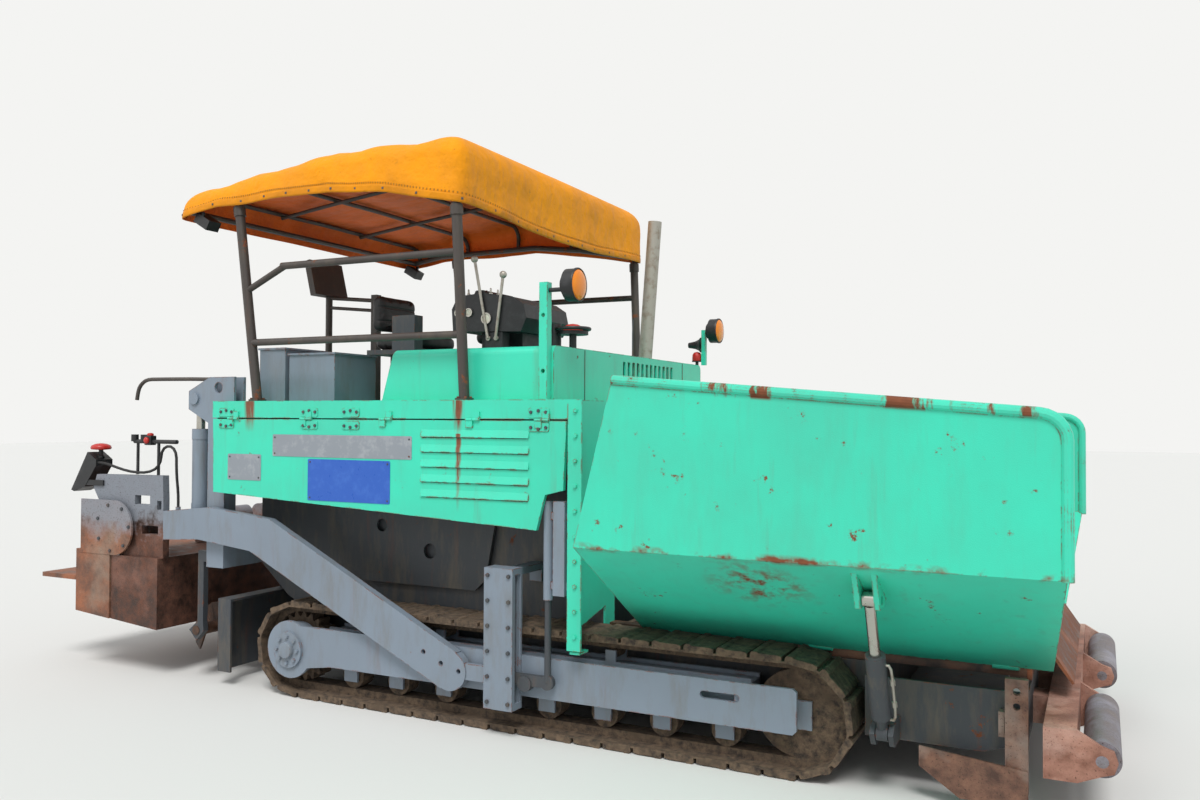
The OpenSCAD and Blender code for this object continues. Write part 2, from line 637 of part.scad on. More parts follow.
// Ploughs that clear the ground before the tracks, clamped to the front frame
plough_y = front_w / 2;
plough_x = front_frame_x - 90;
module ploughs() color(steel) both_sides() {
    difference() {
        block([plough_x, plough_y + 60, 100], [plough_x + 95, plough_y + 95, 600]);
        for (z = [480, 545]) rod_y(plough_x + 48, z, 16, plough_y + 50, 60);
    }
    block([plough_x - 30, plough_y, 330], [plough_x + 60, plough_y + 60, 350]);
    block([plough_x - 30, plough_y, 420], [plough_x + 60, plough_y + 60, 440]);
    block([plough_x - 30, plough_y + 40, 350], [plough_x - 5, plough_y + 60, 420]);
    plate_xz(plough_y + 95, 14) polygon([[plough_x - 365, 165], [plough_x - 365, 255], [plough_x + 95, 205],
        [plough_x + 95, 45], [plough_x - 190, 45]]);
}

// Lines of the cover's lower edge and of its top along the machine
hem_line = [[canopy_rear_x, hem_rear_z], [canopy_rear_x + 350, hem_mid_z - 10], [canopy_rear_x + 1270, hem_mid_z],
    [canopy_rear_x + 1700, hem_mid_z - 50], [canopy_front_x, hem_front_z]];
roof_line = [[canopy_rear_x, roof_rear_z], [canopy_rear_x + 630, roof_z - 70], [canopy_rear_x + 1280, roof_z],
    [canopy_front_x, roof_z - 6]];
function hem_at(x) = lookup(x, hem_line);
function roof_at(x) = lookup(x, roof_line);
rail_r = 22;
rail_up = 36;
rail_room = 1.5;
hoop_r = 16;
hoops = 5;
shoulder_r = 130;
hem_rail_y = canopy_w / 2 - cover_t - rail_r - rail_room;
rail_end_gap = 64;
rail_x0 = canopy_rear_x + rail_end_gap;
rail_x1 = canopy_front_x - rail_end_gap;

// Canopy frame of leaning posts and side rails, with a foot plate and a socket to each post
post_y = body_y - 62;
foot_w = 76;
socket_h = 70;
saddle_l = 20;
// top of a post's saddle, just below the rail
function saddle_z(x) = let (a = hem_at(x - saddle_l / 2), b = hem_at(x + saddle_l / 2))
    min(a, b) + rail_up - rail_r / cos(atan((b - a) / saddle_l)) - seat_gap;
function post_top(x) = [x, hem_rail_y - 8, saddle_z(x) - 16];
rear_post = [[-1419, post_y, deck_z + 6], post_top(-1576)];
front_post = [[hood_front_x - 536, post_y, deck_z + 6], post_top(93)];
function along(line, z) = line[0] + (line[1] - line[0]) * (z - line[0][2]) / (line[1][2] - line[0][2]);
rail_z = 2210;
upper_rail_z = [2540, 2680];
rail_bend_x = -1190;
rail_y = post_y + 10;
function rail_end(post, z) = [along(post, z)[0], rail_y, z];
module canopy_frame() color(dark) both_sides() {
    for (post = [rear_post, front_post]) {
        tube_between(post[0], post[1], post_r);
        translate([post[0][0], post_y, deck_z + 6]) cube([foot_w, foot_w, 12], center = true);
        tube_between(along(post, post[1][2] - socket_h), along(post, post[1][2] - 12), post_r + 7);
        block(post[1] - [saddle_l / 2, 14, 20], post[1] + [saddle_l / 2, 14, 16]);
    }
    tube_between(rail_end(rear_post, rail_z), rail_end(front_post, rail_z), rail_r);
    tube_between(rail_end(rear_post, upper_rail_z[0]), [rail_bend_x, rail_y, upper_rail_z[1]], rail_r - 2);
    tube_between([rail_bend_x - 26, rail_y, upper_rail_z[1]], rail_end(front_post, upper_rail_z[1]), rail_r);
}

// Rails along the cover's edges, with hoops and purlins that carry its top
module rail_along(y, line, up, r) sweep(tube_rings([for (p = line) [p[0], y, p[1] + up]], r, 8));
module canopy_hoops() color(dark) {
    ends = [rail_x0, rail_x1];
    side_line = concat([[rail_x0, hem_at(rail_x0)]], [for (i = [1:3]) hem_line[i]], [[rail_x1, hem_at(rail_x1)]]);
    both_sides() rail_along(hem_rail_y, side_line, rail_up, rail_r);
    for (x = ends)
        sweep(tube_rings([for (y = [-hem_rail_y, 0, hem_rail_y]) [x, y, hem_at(x) + rail_up]], rail_r - 3, 8, [1, 0, 0]));
    bend = shoulder_r - cover_t - seat_gap - hoop_r;
    for (i = [0:hoops - 1]) {
        x = rail_x0 + 50 + (rail_x1 - rail_x0 - 100) * i / (hoops - 1);
        top = roof_at(x) - cover_t - hoop_r - 12;
        half = concat([[hem_rail_y, hem_at(x) + rail_up]],
            arc([canopy_w / 2 - shoulder_r, top - bend + 4], bend, 8, 86, 5), [[450, top + 6], [0, top + 10]]);
        route = concat([for (p = half) [x, p[0], p[1]]], [for (j = [len(half) - 2:-1:0]) [x, -half[j][0], half[j][1]]]);
        sweep(tube_rings(route, hoop_r, 8, [1, 0, 0]));
    }
    for (y = [-430, 430])
        rail_along(y, [for (x = [rail_x0 + 50, roof_line[1][0], roof_line[2][0], rail_x1 - 50]) [x, roof_at(x)]],
            -cover_t - 2 * hoop_r - 14, hoop_r - 2);
}

// Canopy cover: one sheet with rounded shoulders and arched sides, open below
function cover_ring(x, drop, inset, below) = let (
    w = canopy_w / 2 - inset, top = roof_at(x) - drop, r = shoulder_r - min(inset, 60), c = w - r,
    side = concat([[w, hem_at(x) - below]], arc([c, top - r], r, 0, 84, 6)))
    concat([for (p = side) [x, p[0], p[1]]], [for (j = [len(side) - 1:-1:0]) [x, -side[j][0], side[j][1]]]);
module cover_skin(inset, below) {
    x0 = canopy_rear_x + inset;
    x1 = canopy_front_x - inset;
    steps = [for (x = [hem_line[1][0], roof_line[1][0], hem_line[2][0], hem_line[3][0]]) [x, inset, inset]];
    sweep([for (p = concat([[x0, 34 + inset, 26 + inset], [x0 + 16, 10 + inset, 8 + inset], [x0 + 60, inset, inset]], steps,
        [[x1 - 60, inset, inset], [x1 - 16, 10 + inset, 8 + inset], [x1, 34 + inset, 26 + inset]]))
        cover_ring(p[0], p[1], p[2], below)]);
}
module canopy_cover() color(tarp) difference() {
    cover_skin(0, 0);
    cover_skin(cover_t, 60);
}

module exhaust_pipe() color(pale) difference() {
    tube_between([500, 500, hood_z - 50], [576, 500, 3110], 47);
    tube_between([500, 500, hood_z - 49], [578, 500, 3130], 42);
}

// Operator's stand: console with its instrument case and steering disc, levers, seats, lockers and display
case_z = 2250;
lever_box = [115, -800];
module operator_console() color(black) {
    block([-60, -700, hood_z], [230, -470, case_z + 30]);
    plate_xz(-840, 520) polygon([[-178, case_z + 15], [-188, 2400], [-160, 2450], [-110, 2480], [40, 2490],
        [250, 2455], [320, 2410], [338, 2330], [300, case_z]]);
    plate_xz(-750, 340) polygon([[-110, 2470], [-70, 2520], [-20, 2520], [20, 2480]]);
    block([lever_box[0] - 60, lever_box[1] - 40, hood_z], [lever_box[0] + 60, lever_box[1] + 40, case_z]);
    translate([520, -600, hood_z]) cylinder(r = 22, h = 110);
    translate([520, -600, hood_z + 100]) cylinder(r = 92, h = 22);
    translate([400, -600, hood_z]) cylinder(r = 36, h = 170);
}
module control_levers() color(pale)
    for (p = [[-35, -852, -18 - lever_box[0], 2694], [20, -852, 185 - lever_box[0], 2589]]) {
        translate([lever_box[0] + p[0], p[1], 2215]) rotate([-90, 0, 0]) cylinder(r = 14, h = 12 - seat_gap);
        tube_between([lever_box[0] + p[0], p[1], 2215], [lever_box[0] + p[2], p[1], p[3]], 9);
        translate([lever_box[0] + p[2], p[1], p[3]]) sphere(22);
    }
seat_x = -640;
seat_z = 2170;
seat_w = 450;
module seat_frames() color(dark) both_sides() {
    block([seat_x - 120, 500, deck_z], [seat_x + 100, 700, seat_z - 30]);
    block([seat_x - 210, 600 - seat_w / 2, seat_z - 30], [seat_x + 220, 600 + seat_w / 2, seat_z - seat_gap]);
    // arm box beside the squab
    block([seat_x + 60, 600 + seat_w / 2 + 6, seat_z - 30], [seat_x + 230, 600 + seat_w / 2 + 90, seat_z + 200]);
    block([seat_x + 60, 600 + seat_w / 2, seat_z - 30], [seat_x + 100, 600 + seat_w / 2 + 6, seat_z - 4]);
}
module seat_cushions() color(black) both_sides() {
    block([seat_x - 210, 600 - seat_w / 2, seat_z], [seat_x + 220, 600 + seat_w / 2, seat_z + 110]);
    plate_xz(600 - seat_w / 2 + 10, seat_w - 20) polygon([[seat_x - 210, seat_z + 110], [seat_x - 95, seat_z + 110],
        [seat_x - 125, seat_z + 365], [seat_x - 215, seat_z + 365]]);
}
lockers = [[-1590, -1370, 350], [-1335, -960, 310]];
module deck_lockers() color(steel) both_sides() for (p = lockers) {
    block([p[0], 600, deck_z], [p[1], 1000, deck_z + p[2] - 12]);
    block([p[0] - 8, 590, deck_z + p[2] - 12], [p[1] + 8, 1010, deck_z + p[2]]);
}
display_post = [-1630, -300];
display_top_z = 2620;
module display_arm() color(dark) {
    translate([display_post[0], display_post[1], deck_z]) cylinder(r = 24, h = display_top_z - deck_z);
    block([-1230, display_post[1] - 25, deck_z], [-1180, display_post[1] + 25, 2600]);
    tube_between([display_post[0], display_post[1], display_top_z - 20], [-1205, display_post[1], 2560], 14);
    tube_between([display_post[0], display_post[1], display_top_z - 90], [-1205, display_post[1], 2490], 12);
    // panel, leaned back
    translate([display_post[0], display_post[1], display_top_z]) rotate([0, -14, 0])
        block([-24, -170, -14], [24, 170, 240]);
}
lamp_r = 88;
lamp_post = [640, hood_w / 2 + 26];
far_post_x = 715;
far_lamp_y = hood_w / 2 - 20;
module work_lamps() color(amber) {
    for (p = [[820, -lamp_post[1], 2457, lamp_post[0] + 25], [809, far_lamp_y, 2391, far_post_x + 16]]) {
        rod_x(p[1], p[2], lamp_r, p[0] - 40, 56);
        rod_x(p[1], p[2], lamp_r - 34, p[0] - 64, 26);
        rod_x(p[1], p[2] - 20, 12, p[3] + seat_gap, p[0] - 50 - p[3]);
    }
}
module lamp_posts() color(mint) {
    difference() {
        block([lamp_post[0] - 25, -lamp_post[1] - 25, deck_z], [lamp_post[0] + 25, 25 - lamp_post[1], 2480]);
        for (z = [1997, 2300]) rod_y(lamp_post[0], z, 12, -lamp_post[1] - 60, 120);
    }
    block([far_post_x - 16, far_lamp_y - 16, hood_z], [far_post_x + 16, far_lamp_y + 16, 2400]);
}
module corner_lamps() color(black)
    for (p = [[-1885, -1], [-1985, 1]]) {
        top = hem_at(p[0]) + rail_up - rail_r - 8;
        translate([p[0], p[1] * hem_rail_y, top - 60]) cylinder(r = 10, h = 60);
        translate([p[0], p[1] * (hem_rail_y - 40), top - 60]) rotate([0, 30, 0]) block([-70, -50, -36], [60, 50, 30]);
    }

// Tow point: two guide plates joined at their ends, with slide bars inside
guide_x0 = tow_x - 91;
guide_x1 = tow_x + 90;
guide_z0 = 161;
guide_z1 = 926;
bar_w = 15;
bar_t = 12;
slide_gap = 1;
module tow_guides() color(steel) both_sides() {
    block([guide_x0, guide_y0, guide_z0], [guide_x1, guide_y0 + guide_in_t, guide_z1]);
    block([guide_x0, guide_y1, guide_z0], [guide_x1, guide_y1 + guide_out_t, guide_z1]);
    for (z = [guide_z0, guide_z1 - 36])
        block([guide_x0, guide_y0 + guide_in_t, z], [guide_x1, guide_y1, z + 36]);
    for (x = [guide_x0 + 10, guide_x1 - 10 - bar_w])
        for (y = [guide_y0 + guide_in_t, guide_y1 - bar_t])
            block([x, y, guide_z0 + 36], [x + bar_w, y + bar_t, guide_z1 - 36]);
    block([tow_x - 40, chassis_y + 20 + bracket_plate_t, 870], [tow_x + 40, guide_y0, 910]);
    block([tow_x - 40, chassis_y, 800], [tow_x + 40, chassis_y + 20 + bracket_plate_t, 910]);
}

// Levelling cylinder: its barrel is clamped to a guard bar on the bulkhead
level_x = 695;
level_y = (guide_y0 + guide_in_t + guide_y1) / 2;
level_r = 26;
level_rod_r = 18;
level_z0 = 770;
level_z1 = 1300;
guard_x0 = 741;
guard_x1 = 811;
module level_barrels() color(steel) both_sides() {
    difference() {
        translate([level_x, level_y, level_z0]) cylinder(r = level_r, h = level_z1 - level_z0);
        translate([level_x, level_y, level_z0 - 1]) cylinder(r = level_rod_r + pin_gap, h = level_z1 - level_z0 - 49);
    }
    block([guard_x0, level_y - 15, level_z0 + 30], [guard_x1, level_y + 35, level_z1]);
    for (z = [level_z0 + 60, level_z1 - 100]) {
        block([level_x + 20, level_y - 12, z], [guard_x0, level_y + 12, z + 40]);
        block([guard_x1, level_y - 12, z], [bulkhead_x - panel_t, level_y + 12, z + 40]);
    }
}

// Tow slide: a fork round the tow pin, with a link to the levelling cylinder's rod
cheek_t = 12;
cheek_x0 = guide_x0 + 10 + bar_w + slide_gap;
cheek_x1 = guide_x1 - 10 - bar_w - slide_gap;
cheek_in_y = guide_y0 + guide_in_t + 0.5;
cheek_out_y = guide_y1 - 0.5;
tongue_t = 28;
tongue_y = level_y - tongue_t / 2;
tow_pin_r = 25;
module tow_slide() color(dark) {
    for (y = [cheek_in_y, cheek_out_y - cheek_t])
        block([cheek_x0, y, tow_z - 80], [cheek_x1, y + cheek_t, tow_z + 80]);
    rod_y(tow_x, tow_z, tow_pin_r, cheek_in_y + cheek_t, cheek_out_y - cheek_in_y - 2 * cheek_t);
    block([cheek_x1 - 12, cheek_in_y + cheek_t, tow_z - 40], [cheek_x1, cheek_out_y - cheek_t, tow_z + 40]);
    block([cheek_x1, tongue_y, tow_z - 30], [level_x - 30, tongue_y + tongue_t, tow_z + 30]);
    rod_y(guide_x1 + 52, tow_z - 20, 42, tongue_y - 8, tongue_t + 16);
    rod_y(level_x, tow_z, 40, tongue_y, tongue_t);
    translate([level_x, level_y, tow_z]) cylinder(r = level_rod_r, h = 1100 - tow_z);
}
module tow_slide_left() tow_slide();
module tow_slide_right() right_side() tow_slide();

// Tow arms: cranked plates from the tow pins to the screed
arm_rear = [-1960, 1045];
arm_end_x = -2220;
arm_knee = [-1336, 1000];
arm_front = [70, 325];
arm_rear_h = 200;
lift_pin = [-2010, 1060];
arm_slope = atan2(arm_knee[1] - arm_front[1], arm_front[0] - arm_knee[0]);
arm_up = (arm_h / 2) * [sin(arm_slope), cos(arm_slope)];
module arm_outline() difference() {
    union() {
        polygon([[arm_end_x, arm_rear[1] + arm_rear_h / 2 - 30], arm_rear + [160, arm_rear_h / 2 + 12], arm_knee + arm_up,
            arm_front + arm_up, arm_front - arm_up, arm_knee - arm_up + [-60, 5],
            arm_rear + [60, -arm_rear_h / 2], [arm_end_x, arm_rear[1] - arm_rear_h / 2 - 20]]);
        translate(arm_front) circle(arm_h / 2 - 5);
    }
    for (p = [[-104, 412], [17, 361], [136, 327]]) translate(p) circle(14);
}
gland_z = 1145;
module tow_arms() color(steel) {
    both_sides() {
        plate_xz(arm_y - arm_t / 2, arm_t) arm_outline();
        plate_xz(tongue_y, tongue_t) difference() {
            union() {
                translate([arm_front[0], tow_z - 45]) square([tow_x - arm_front[0], 90]);
                translate([tow_x, tow_z]) circle(45);
            }
            translate(arm_front) circle(arm_h / 2 - 5 + seat_gap);
            translate([tow_x, tow_z]) circle(tow_pin_r + pin_gap);
        }
        rod_y(lift_pin[0], lift_pin[1], 30, tower_y1 - 105, arm_y - arm_t / 2 - tower_y1 + 105);
    }
    // gland of the control hose on the right arm
    translate([-2110, -arm_y, 1100]) cylinder(r = 16, h = gland_z - 1100);
}

// Rear towers: posts on the chassis rear wall with forks that take the lift cylinders' rods
tower_x0 = body_rear_x - 150;
tower_y0 = tower_y1 - 100;
lift_y = (tower_y0 + tower_y1) / 2;
lift_eye_z = 1860;
cheek_x = lift_pin[0] - 60;
module tower_cheek() difference() {
    polygon([[body_rear_x, 1700 + seat_gap], [tower_x0, 1700 + seat_gap], [cheek_x, 1790], [cheek_x, 1910], [-1985, 1950],
        [-1880, 2000], [body_rear_x + 80, 2000], [body_rear_x + 80, deck_z], [body_rear_x, deck_z]]);
    translate([-1800, 1930]) circle(35);
}
module rear_towers() color(steel) {
    both_sides() {
        block([tower_x0, tower_y0, 760], [body_rear_x, tower_y1, 1700]);
        for (y = [tower_y0, tower_y1 - 18]) plate_xz(y, 18) tower_cheek();
        block([tower_x0, tower_y0 + 18 + seat_gap, 1690], [body_rear_x, tower_y1 - 18 - seat_gap, deck_z]);
        for (y = [tower_y0 - 14, tower_y1]) rod_y(lift_pin[0], lift_eye_z, 38, y, 14);
    }
    block([tower_x0, seat_gap - tower_y0, 760], [body_rear_x, tower_y0 - seat_gap, 900]);
}

// Lift cylinders between the tow arms and the rear towers
lift_r = 55;
lift_rod_r = 28;
lift_barrel_top = 1660;
module lift_barrel() color(steel) {
    difference() {
        union() {
            rod_y(lift_pin[0], lift_pin[1], 55, lift_y - 45, 90);
            translate([lift_pin[0], lift_y, lift_pin[1]]) cylinder(r = lift_r - 3, h = lift_barrel_top - lift_pin[1]);
            translate([lift_pin[0], lift_y, lift_barrel_top - 70]) cylinder(r = lift_r, h = 70);
            translate([lift_pin[0], lift_y, lift_pin[1]]) cylinder(r = lift_r, h = 110);
        }
        rod_y(lift_pin[0], lift_pin[1], 30 + pin_gap, lift_y - 80, 160);
        translate([lift_pin[0], lift_y, lift_pin[1] + 110]) cylinder(r = lift_rod_r + pin_gap, h = 800);
    }
}
module lift_barrel_left() lift_barrel();
module lift_barrel_right() right_side() lift_barrel();
module lift_rod() color(pale) {
    translate([lift_pin[0], lift_y, lift_pin[1] + 140]) cylinder(r = lift_rod_r, h = lift_eye_z - lift_pin[1] - 180);
    rod_y(lift_pin[0], lift_eye_z, 42, tower_y0 + 18 + free_gap, tower_y1 - tower_y0 - 36 - 2 * free_gap);
}
module lift_rod_left() lift_rod();
module lift_rod_right() right_side() lift_rod();

// Plate that holds the mix in front of the augers
plate_y = tower_y1 - 20;
module retaining_plate() color(dark) {
    block([-1800, -plate_y, 90], [-1785, plate_y, 560]);
    block([-1785, -plate_y, 545], [-1690, plate_y, 560]);
    for (y = [-600, 580]) block([-1785, y, 560], [-1765, y + 20, 760]);
    both_sides() block([-1785, plate_y - 15, 90], [-1690, plate_y, 545]);
}

// Auger hanger: middle gear case and the outer bearings
gear_case_w = 110;
auger_y0 = gear_case_w / 2 + seat_gap;
auger_y1 = plate_y - 40;
auger_shaft_r = 38;
module auger_hanger() color(dark) {
    plate_xz(-gear_case_w / 2, gear_case_w) polygon([[tower_x0, 760], [tower_x0 + 90, 760], [tower_x0 + 60, 560], [auger_x + 90, auger_z],
        [auger_x, auger_z - 90], [auger_x - 90, auger_z], [auger_x - 60, auger_z + 120], [tower_x0 - 60, 760]]);
    both_sides() {
        plate_xz(auger_y1 + free_gap, 40) difference() {
            polygon([[tower_x0, 790], [tower_x0, 860], [-1980, 860], [-1980, auger_z + 60], [auger_x - 65, auger_z],
                [auger_x, auger_z - 65], [auger_x + 65, auger_z], [-1930, auger_z + 60], [-1930, 790]]);
            translate([auger_x, auger_z]) circle(auger_shaft_r - 8 + pin_gap);
        }
    }
}
flight_t = 14;
flight_steps = 16;
module auger() color(rust) {
    rod_y(auger_x, auger_z, auger_shaft_r, auger_y0, auger_y1 - auger_y0);
    rod_y(auger_x, auger_z, auger_shaft_r - 8, auger_y1, free_gap + 46);
    y0 = auger_y0 + 30;
    steps = floor((auger_y1 - y0 - 30) / auger_pitch * flight_steps);
    r0 = auger_shaft_r - 6;
    sweep([for (i = [0:steps]) let (a = 360 * i / flight_steps, y = y0 + auger_pitch * i / flight_steps,
        c = [auger_x, y, auger_z], u = [cos(a), 0, sin(a)], v = [0, flight_t / 2, 0])
        [c + r0 * u - v, c + auger_r * u - v, c + auger_r * u + v, c + r0 * u + v]]);
}
module auger_left() auger();
module auger_right() right_side() auger();

// Screed: fixed box with its side plates and the bearings of the extensions' guide tubes
screed_rear_x = screed_front_x - screed_l;
function plate_z(x) = screed_plate_z + (screed_front_x - x) * tan(screed_tilt);
screed_top_z = 800;
guide_c = [screed_rear_x + 27, 985];
side_top_z = 1340;
module screed_body() color(rust) {
    plate_xz(-screed_y, 2 * screed_y) difference() {
        polygon([[screed_front_x, plate_z(screed_front_x)], [screed_rear_x, plate_z(screed_rear_x)],
            [screed_rear_x, screed_top_z], [screed_front_x, screed_top_z]]);
        polygon([[screed_front_x - 20, plate_z(screed_front_x) + 90], [screed_rear_x + 20, plate_z(screed_rear_x) + 90],
            [screed_rear_x + 20, screed_top_z - 20], [screed_front_x - 20, screed_top_z - 20]]);
    }
    both_sides() {
        plate_xz(screed_y - 16, 16) polygon([[screed_front_x, plate_z(screed_front_x)],
            [screed_rear_x, plate_z(screed_rear_x)], [screed_rear_x, screed_top_z], [screed_front_x, screed_top_z]]);
        plate_xz(arm_y - arm_t / 2, arm_t) difference() {
            polygon([[arm_end_x, 800], [screed_rear_x + 47, 800], [screed_rear_x - 60, 1010], [screed_rear_x - 225, 1250],
                [screed_rear_x - 190, side_top_z], [arm_end_x - 8, side_top_z + 8], [arm_end_x, 1190]]);
            translate(guide_c) circle(guide_tube_r + free_gap);
            translate([-2493, 1149]) square([146, 61]);
            translate([-2421, 953]) square([155, 58]);
            translate([-2280, 1120]) square([42, 60]);
        }
        for (y = [340, 960]) plate_xz(y, 120) difference() {
            translate([guide_c[0] - 110, screed_top_z]) square([220, guide_c[1] - screed_top_z + 100]);
            translate(guide_c) circle(guide_tube_r + pin_gap);
        }
    }
}

// Screed extension behind the fixed screed, with its guide tube, end cover, gate and step
ext_x1 = screed_rear_x - free_gap;
ext_x0 = ext_x1 - extension_l;
ext_gap_y = 12;
module screed_extension() color(rust) {
    plate_xz(ext_gap_y, screed_y - 20 - ext_gap_y) difference() {
        polygon([[ext_x1, plate_z(ext_x1)], [ext_x0, plate_z(ext_x0)], [ext_x0, 823], [ext_x1, 790]]);
        polygon([[ext_x1 - 20, plate_z(ext_x1) + 80], [ext_x0 + 20, plate_z(ext_x0) + 80], [ext_x0 + 20, 800], [ext_x1 - 20, 770]]);
    }
    plate_xz(screed_y - 20, 30) polygon([[ext_x1, plate_z(ext_x1)], [ext_x0, plate_z(ext_x0)], [ext_x0, 823], [ext_x1, 796]]);
    // end cover of the guide tube
    plate_xz(screed_y, 14) {
        translate(guide_c) circle(185);
        translate([guide_c[0] - 325, guide_c[1] - 185]) square([325, 370]);
    }
    rod_y(guide_c[0], guide_c[1], guide_tube_r, 60, screed_y - 60);
    step_z = 630;
    block([ext_x0 - step_l - 30, 100, step_z - 30], [ext_x0 - 30, screed_y - 10, step_z]);
    for (y = [200, 640, 1080]) block([ext_x0 - 30, y, step_z - 60], [ext_x0, y + 20, step_z]);
}
module screed_extension_left() screed_extension();
module screed_extension_right() right_side() screed_extension();

// Screed controls: boxes, rails and buttons at the right end
control_y = body_y - 25;
module control_shape() polygon([[-3125, 1225], [-3095, 1215], [-2985, 1250], [-2870, 1400], [-2870, 1440], [-2960, 1492]]);
module screed_controls() color(dark) {
    plate_xz(-control_y - 5, 130) control_shape();
    // bracket from the box to the right side plate
    block([-2985, -arm_y - arm_t / 2 - seat_gap - 12, 1262], [-2800, -arm_y - arm_t / 2 - seat_gap, 1300]);
    // button rail with its two posts
    rod_x(-arm_y, 1572, 14, -2532, 404);
    for (x = [-2500, -2300]) translate([x, -arm_y, side_top_z + 9 + seat_gap]) cylinder(r = 10, h = 1572 - side_top_z - 9);
    for (x = [-2532, -2440]) translate([x, -arm_y, 1572]) cylinder(r = 24, h = 46);
}
// Hose from the control box to the tow arm
hose_r = 9;
hose_y = -1213;
hose_xz = [[-2870, 1420], [-2835, 1420], [-2795, 1416], [-2740, 1405], [-2678, 1391], [-2610, 1377], [-2540, 1367],
    [-2470, 1363], [-2410, 1364], [-2355, 1372], [-2308, 1388], [-2276, 1411], [-2256, 1441], [-2248, 1474],
    [-2242, 1503], [-2222, 1529], [-2193, 1542], [-2161, 1542], [-2132, 1528], [-2113, 1502], [-2105, 1468],
    [-2104, 1420]];
hose_end = [[-2105, -1210, 1370], [-2107, -1204, 1320], [-2109, -1196, 1270], [-2110, -1191, 1220], [-2110, -1190, 1180],
    [-2110, -1190, gland_z]];
hose_route = concat([for (p = hose_xz) [p[0], hose_y, p[1]]], hose_end);
module control_hose() color(black) sweep(tube_rings(hose_route, hose_r, 8));

chassis();
front_frame();
hopper_floor();
conveyors();
engine_block();
body_shell();
front_bulkhead();
engine_hood();
side_door_right();
side_door_left();
track_frames();
track_right();
track_left();
track_wheels();
wing_right();
wing_left();
wing_barrel_right();
wing_barrel_left();
wing_rod_right();
wing_rod_left();
push_beam();
push_roller_right();
push_roller_left();
apron();
ploughs();
canopy_frame();
canopy_hoops();
canopy_cover();
exhaust_pipe();
operator_console();
control_levers();
seat_frames();
seat_cushions();
deck_lockers();
display_arm();
work_lamps();
lamp_posts();
corner_lamps();
tow_guides();
level_barrels();
tow_slide_right();
tow_slide_left();
tow_arms();
rear_towers();
lift_barrel_right();
lift_barrel_left();
lift_rod_right();
lift_rod_left();
retaining_plate();
auger_hanger();
auger_right();
auger_left();
screed_body();
screed_extension_right();
screed_extension_left();
screed_controls();
control_hose();
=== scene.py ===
import math
from functools import partial

import bmesh
import bpy
import numpy as np
from bpy.props import FloatProperty, FloatVectorProperty, PointerProperty
from mathutils import Matrix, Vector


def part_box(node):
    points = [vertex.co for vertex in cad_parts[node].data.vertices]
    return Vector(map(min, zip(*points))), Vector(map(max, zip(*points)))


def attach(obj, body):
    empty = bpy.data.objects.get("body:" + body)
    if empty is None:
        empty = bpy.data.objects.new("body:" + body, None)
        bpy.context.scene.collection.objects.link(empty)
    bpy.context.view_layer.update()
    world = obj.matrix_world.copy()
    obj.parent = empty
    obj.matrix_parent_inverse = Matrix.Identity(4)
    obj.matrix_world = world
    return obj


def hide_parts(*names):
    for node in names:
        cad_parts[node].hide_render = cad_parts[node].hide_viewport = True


bl_info = {
    "name": "Tracked asphalt paver",
    "version": (1, 0, 0),
    "blender": (4, 5, 0),
    "location": "View3D > Sidebar > Paver",
    "description": "Dresses the packed paver with its canopy sheet, seats, fittings and worn finishes",
    "category": "Object",
}

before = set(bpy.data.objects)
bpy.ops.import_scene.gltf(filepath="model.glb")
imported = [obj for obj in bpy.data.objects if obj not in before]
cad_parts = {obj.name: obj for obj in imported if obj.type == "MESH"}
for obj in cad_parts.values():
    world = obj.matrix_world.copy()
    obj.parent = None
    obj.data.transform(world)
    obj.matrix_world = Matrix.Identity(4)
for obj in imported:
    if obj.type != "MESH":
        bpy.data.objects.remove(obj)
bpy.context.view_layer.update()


# Places and sizes that several steps share, in metres
DOOR_FACE = -1.25  # outer face of the right door, guide and front post
POSTS_X = (-1.419, 0.144)  # the canopy's posts
HUB = (-1.17, 1.168, 0.3)  # the left sprocket's hub; the right one mirrors it
WHEEL = (0.52, -0.6)  # middle of the steering disc, in plan
SEAT_PAN = 2.1705  # what the squabs rest on


def linear(code):
    """Linear RGBA of an sRGB hex value: each channel is (c + 0.055) / 1.055 to the power 2.4, or c / 12.92 when
    dark. Any other value is handed back as it is."""
    if not isinstance(code, str):
        return code
    channels = [int(code[i:i + 2], 16) / 255 for i in (1, 3, 5)]
    return [c / 12.92 if c <= 0.04045 else ((c + 0.055) / 1.055) ** 2.4 for c in channels] + [1.0]


def shade(colour, share, lift=0.0):
    """A colour made darker or paler: each channel is share times what it was, plus lift, and at most 1."""
    return [min(1.0, c * share + lift) for c in linear(colour)[:3]] + [1.0]


def hue(code, name, description):
    """A colour property whose default is an sRGB hex value."""
    return FloatVectorProperty(name=name, description=description, subtype="COLOR", size=4, min=0, max=1,
                               default=linear(code))


def metres(default, low, high, name, description):
    """A length property between two limits."""
    return FloatProperty(name=name, description=description, default=default, min=low, max=high, unit="LENGTH")


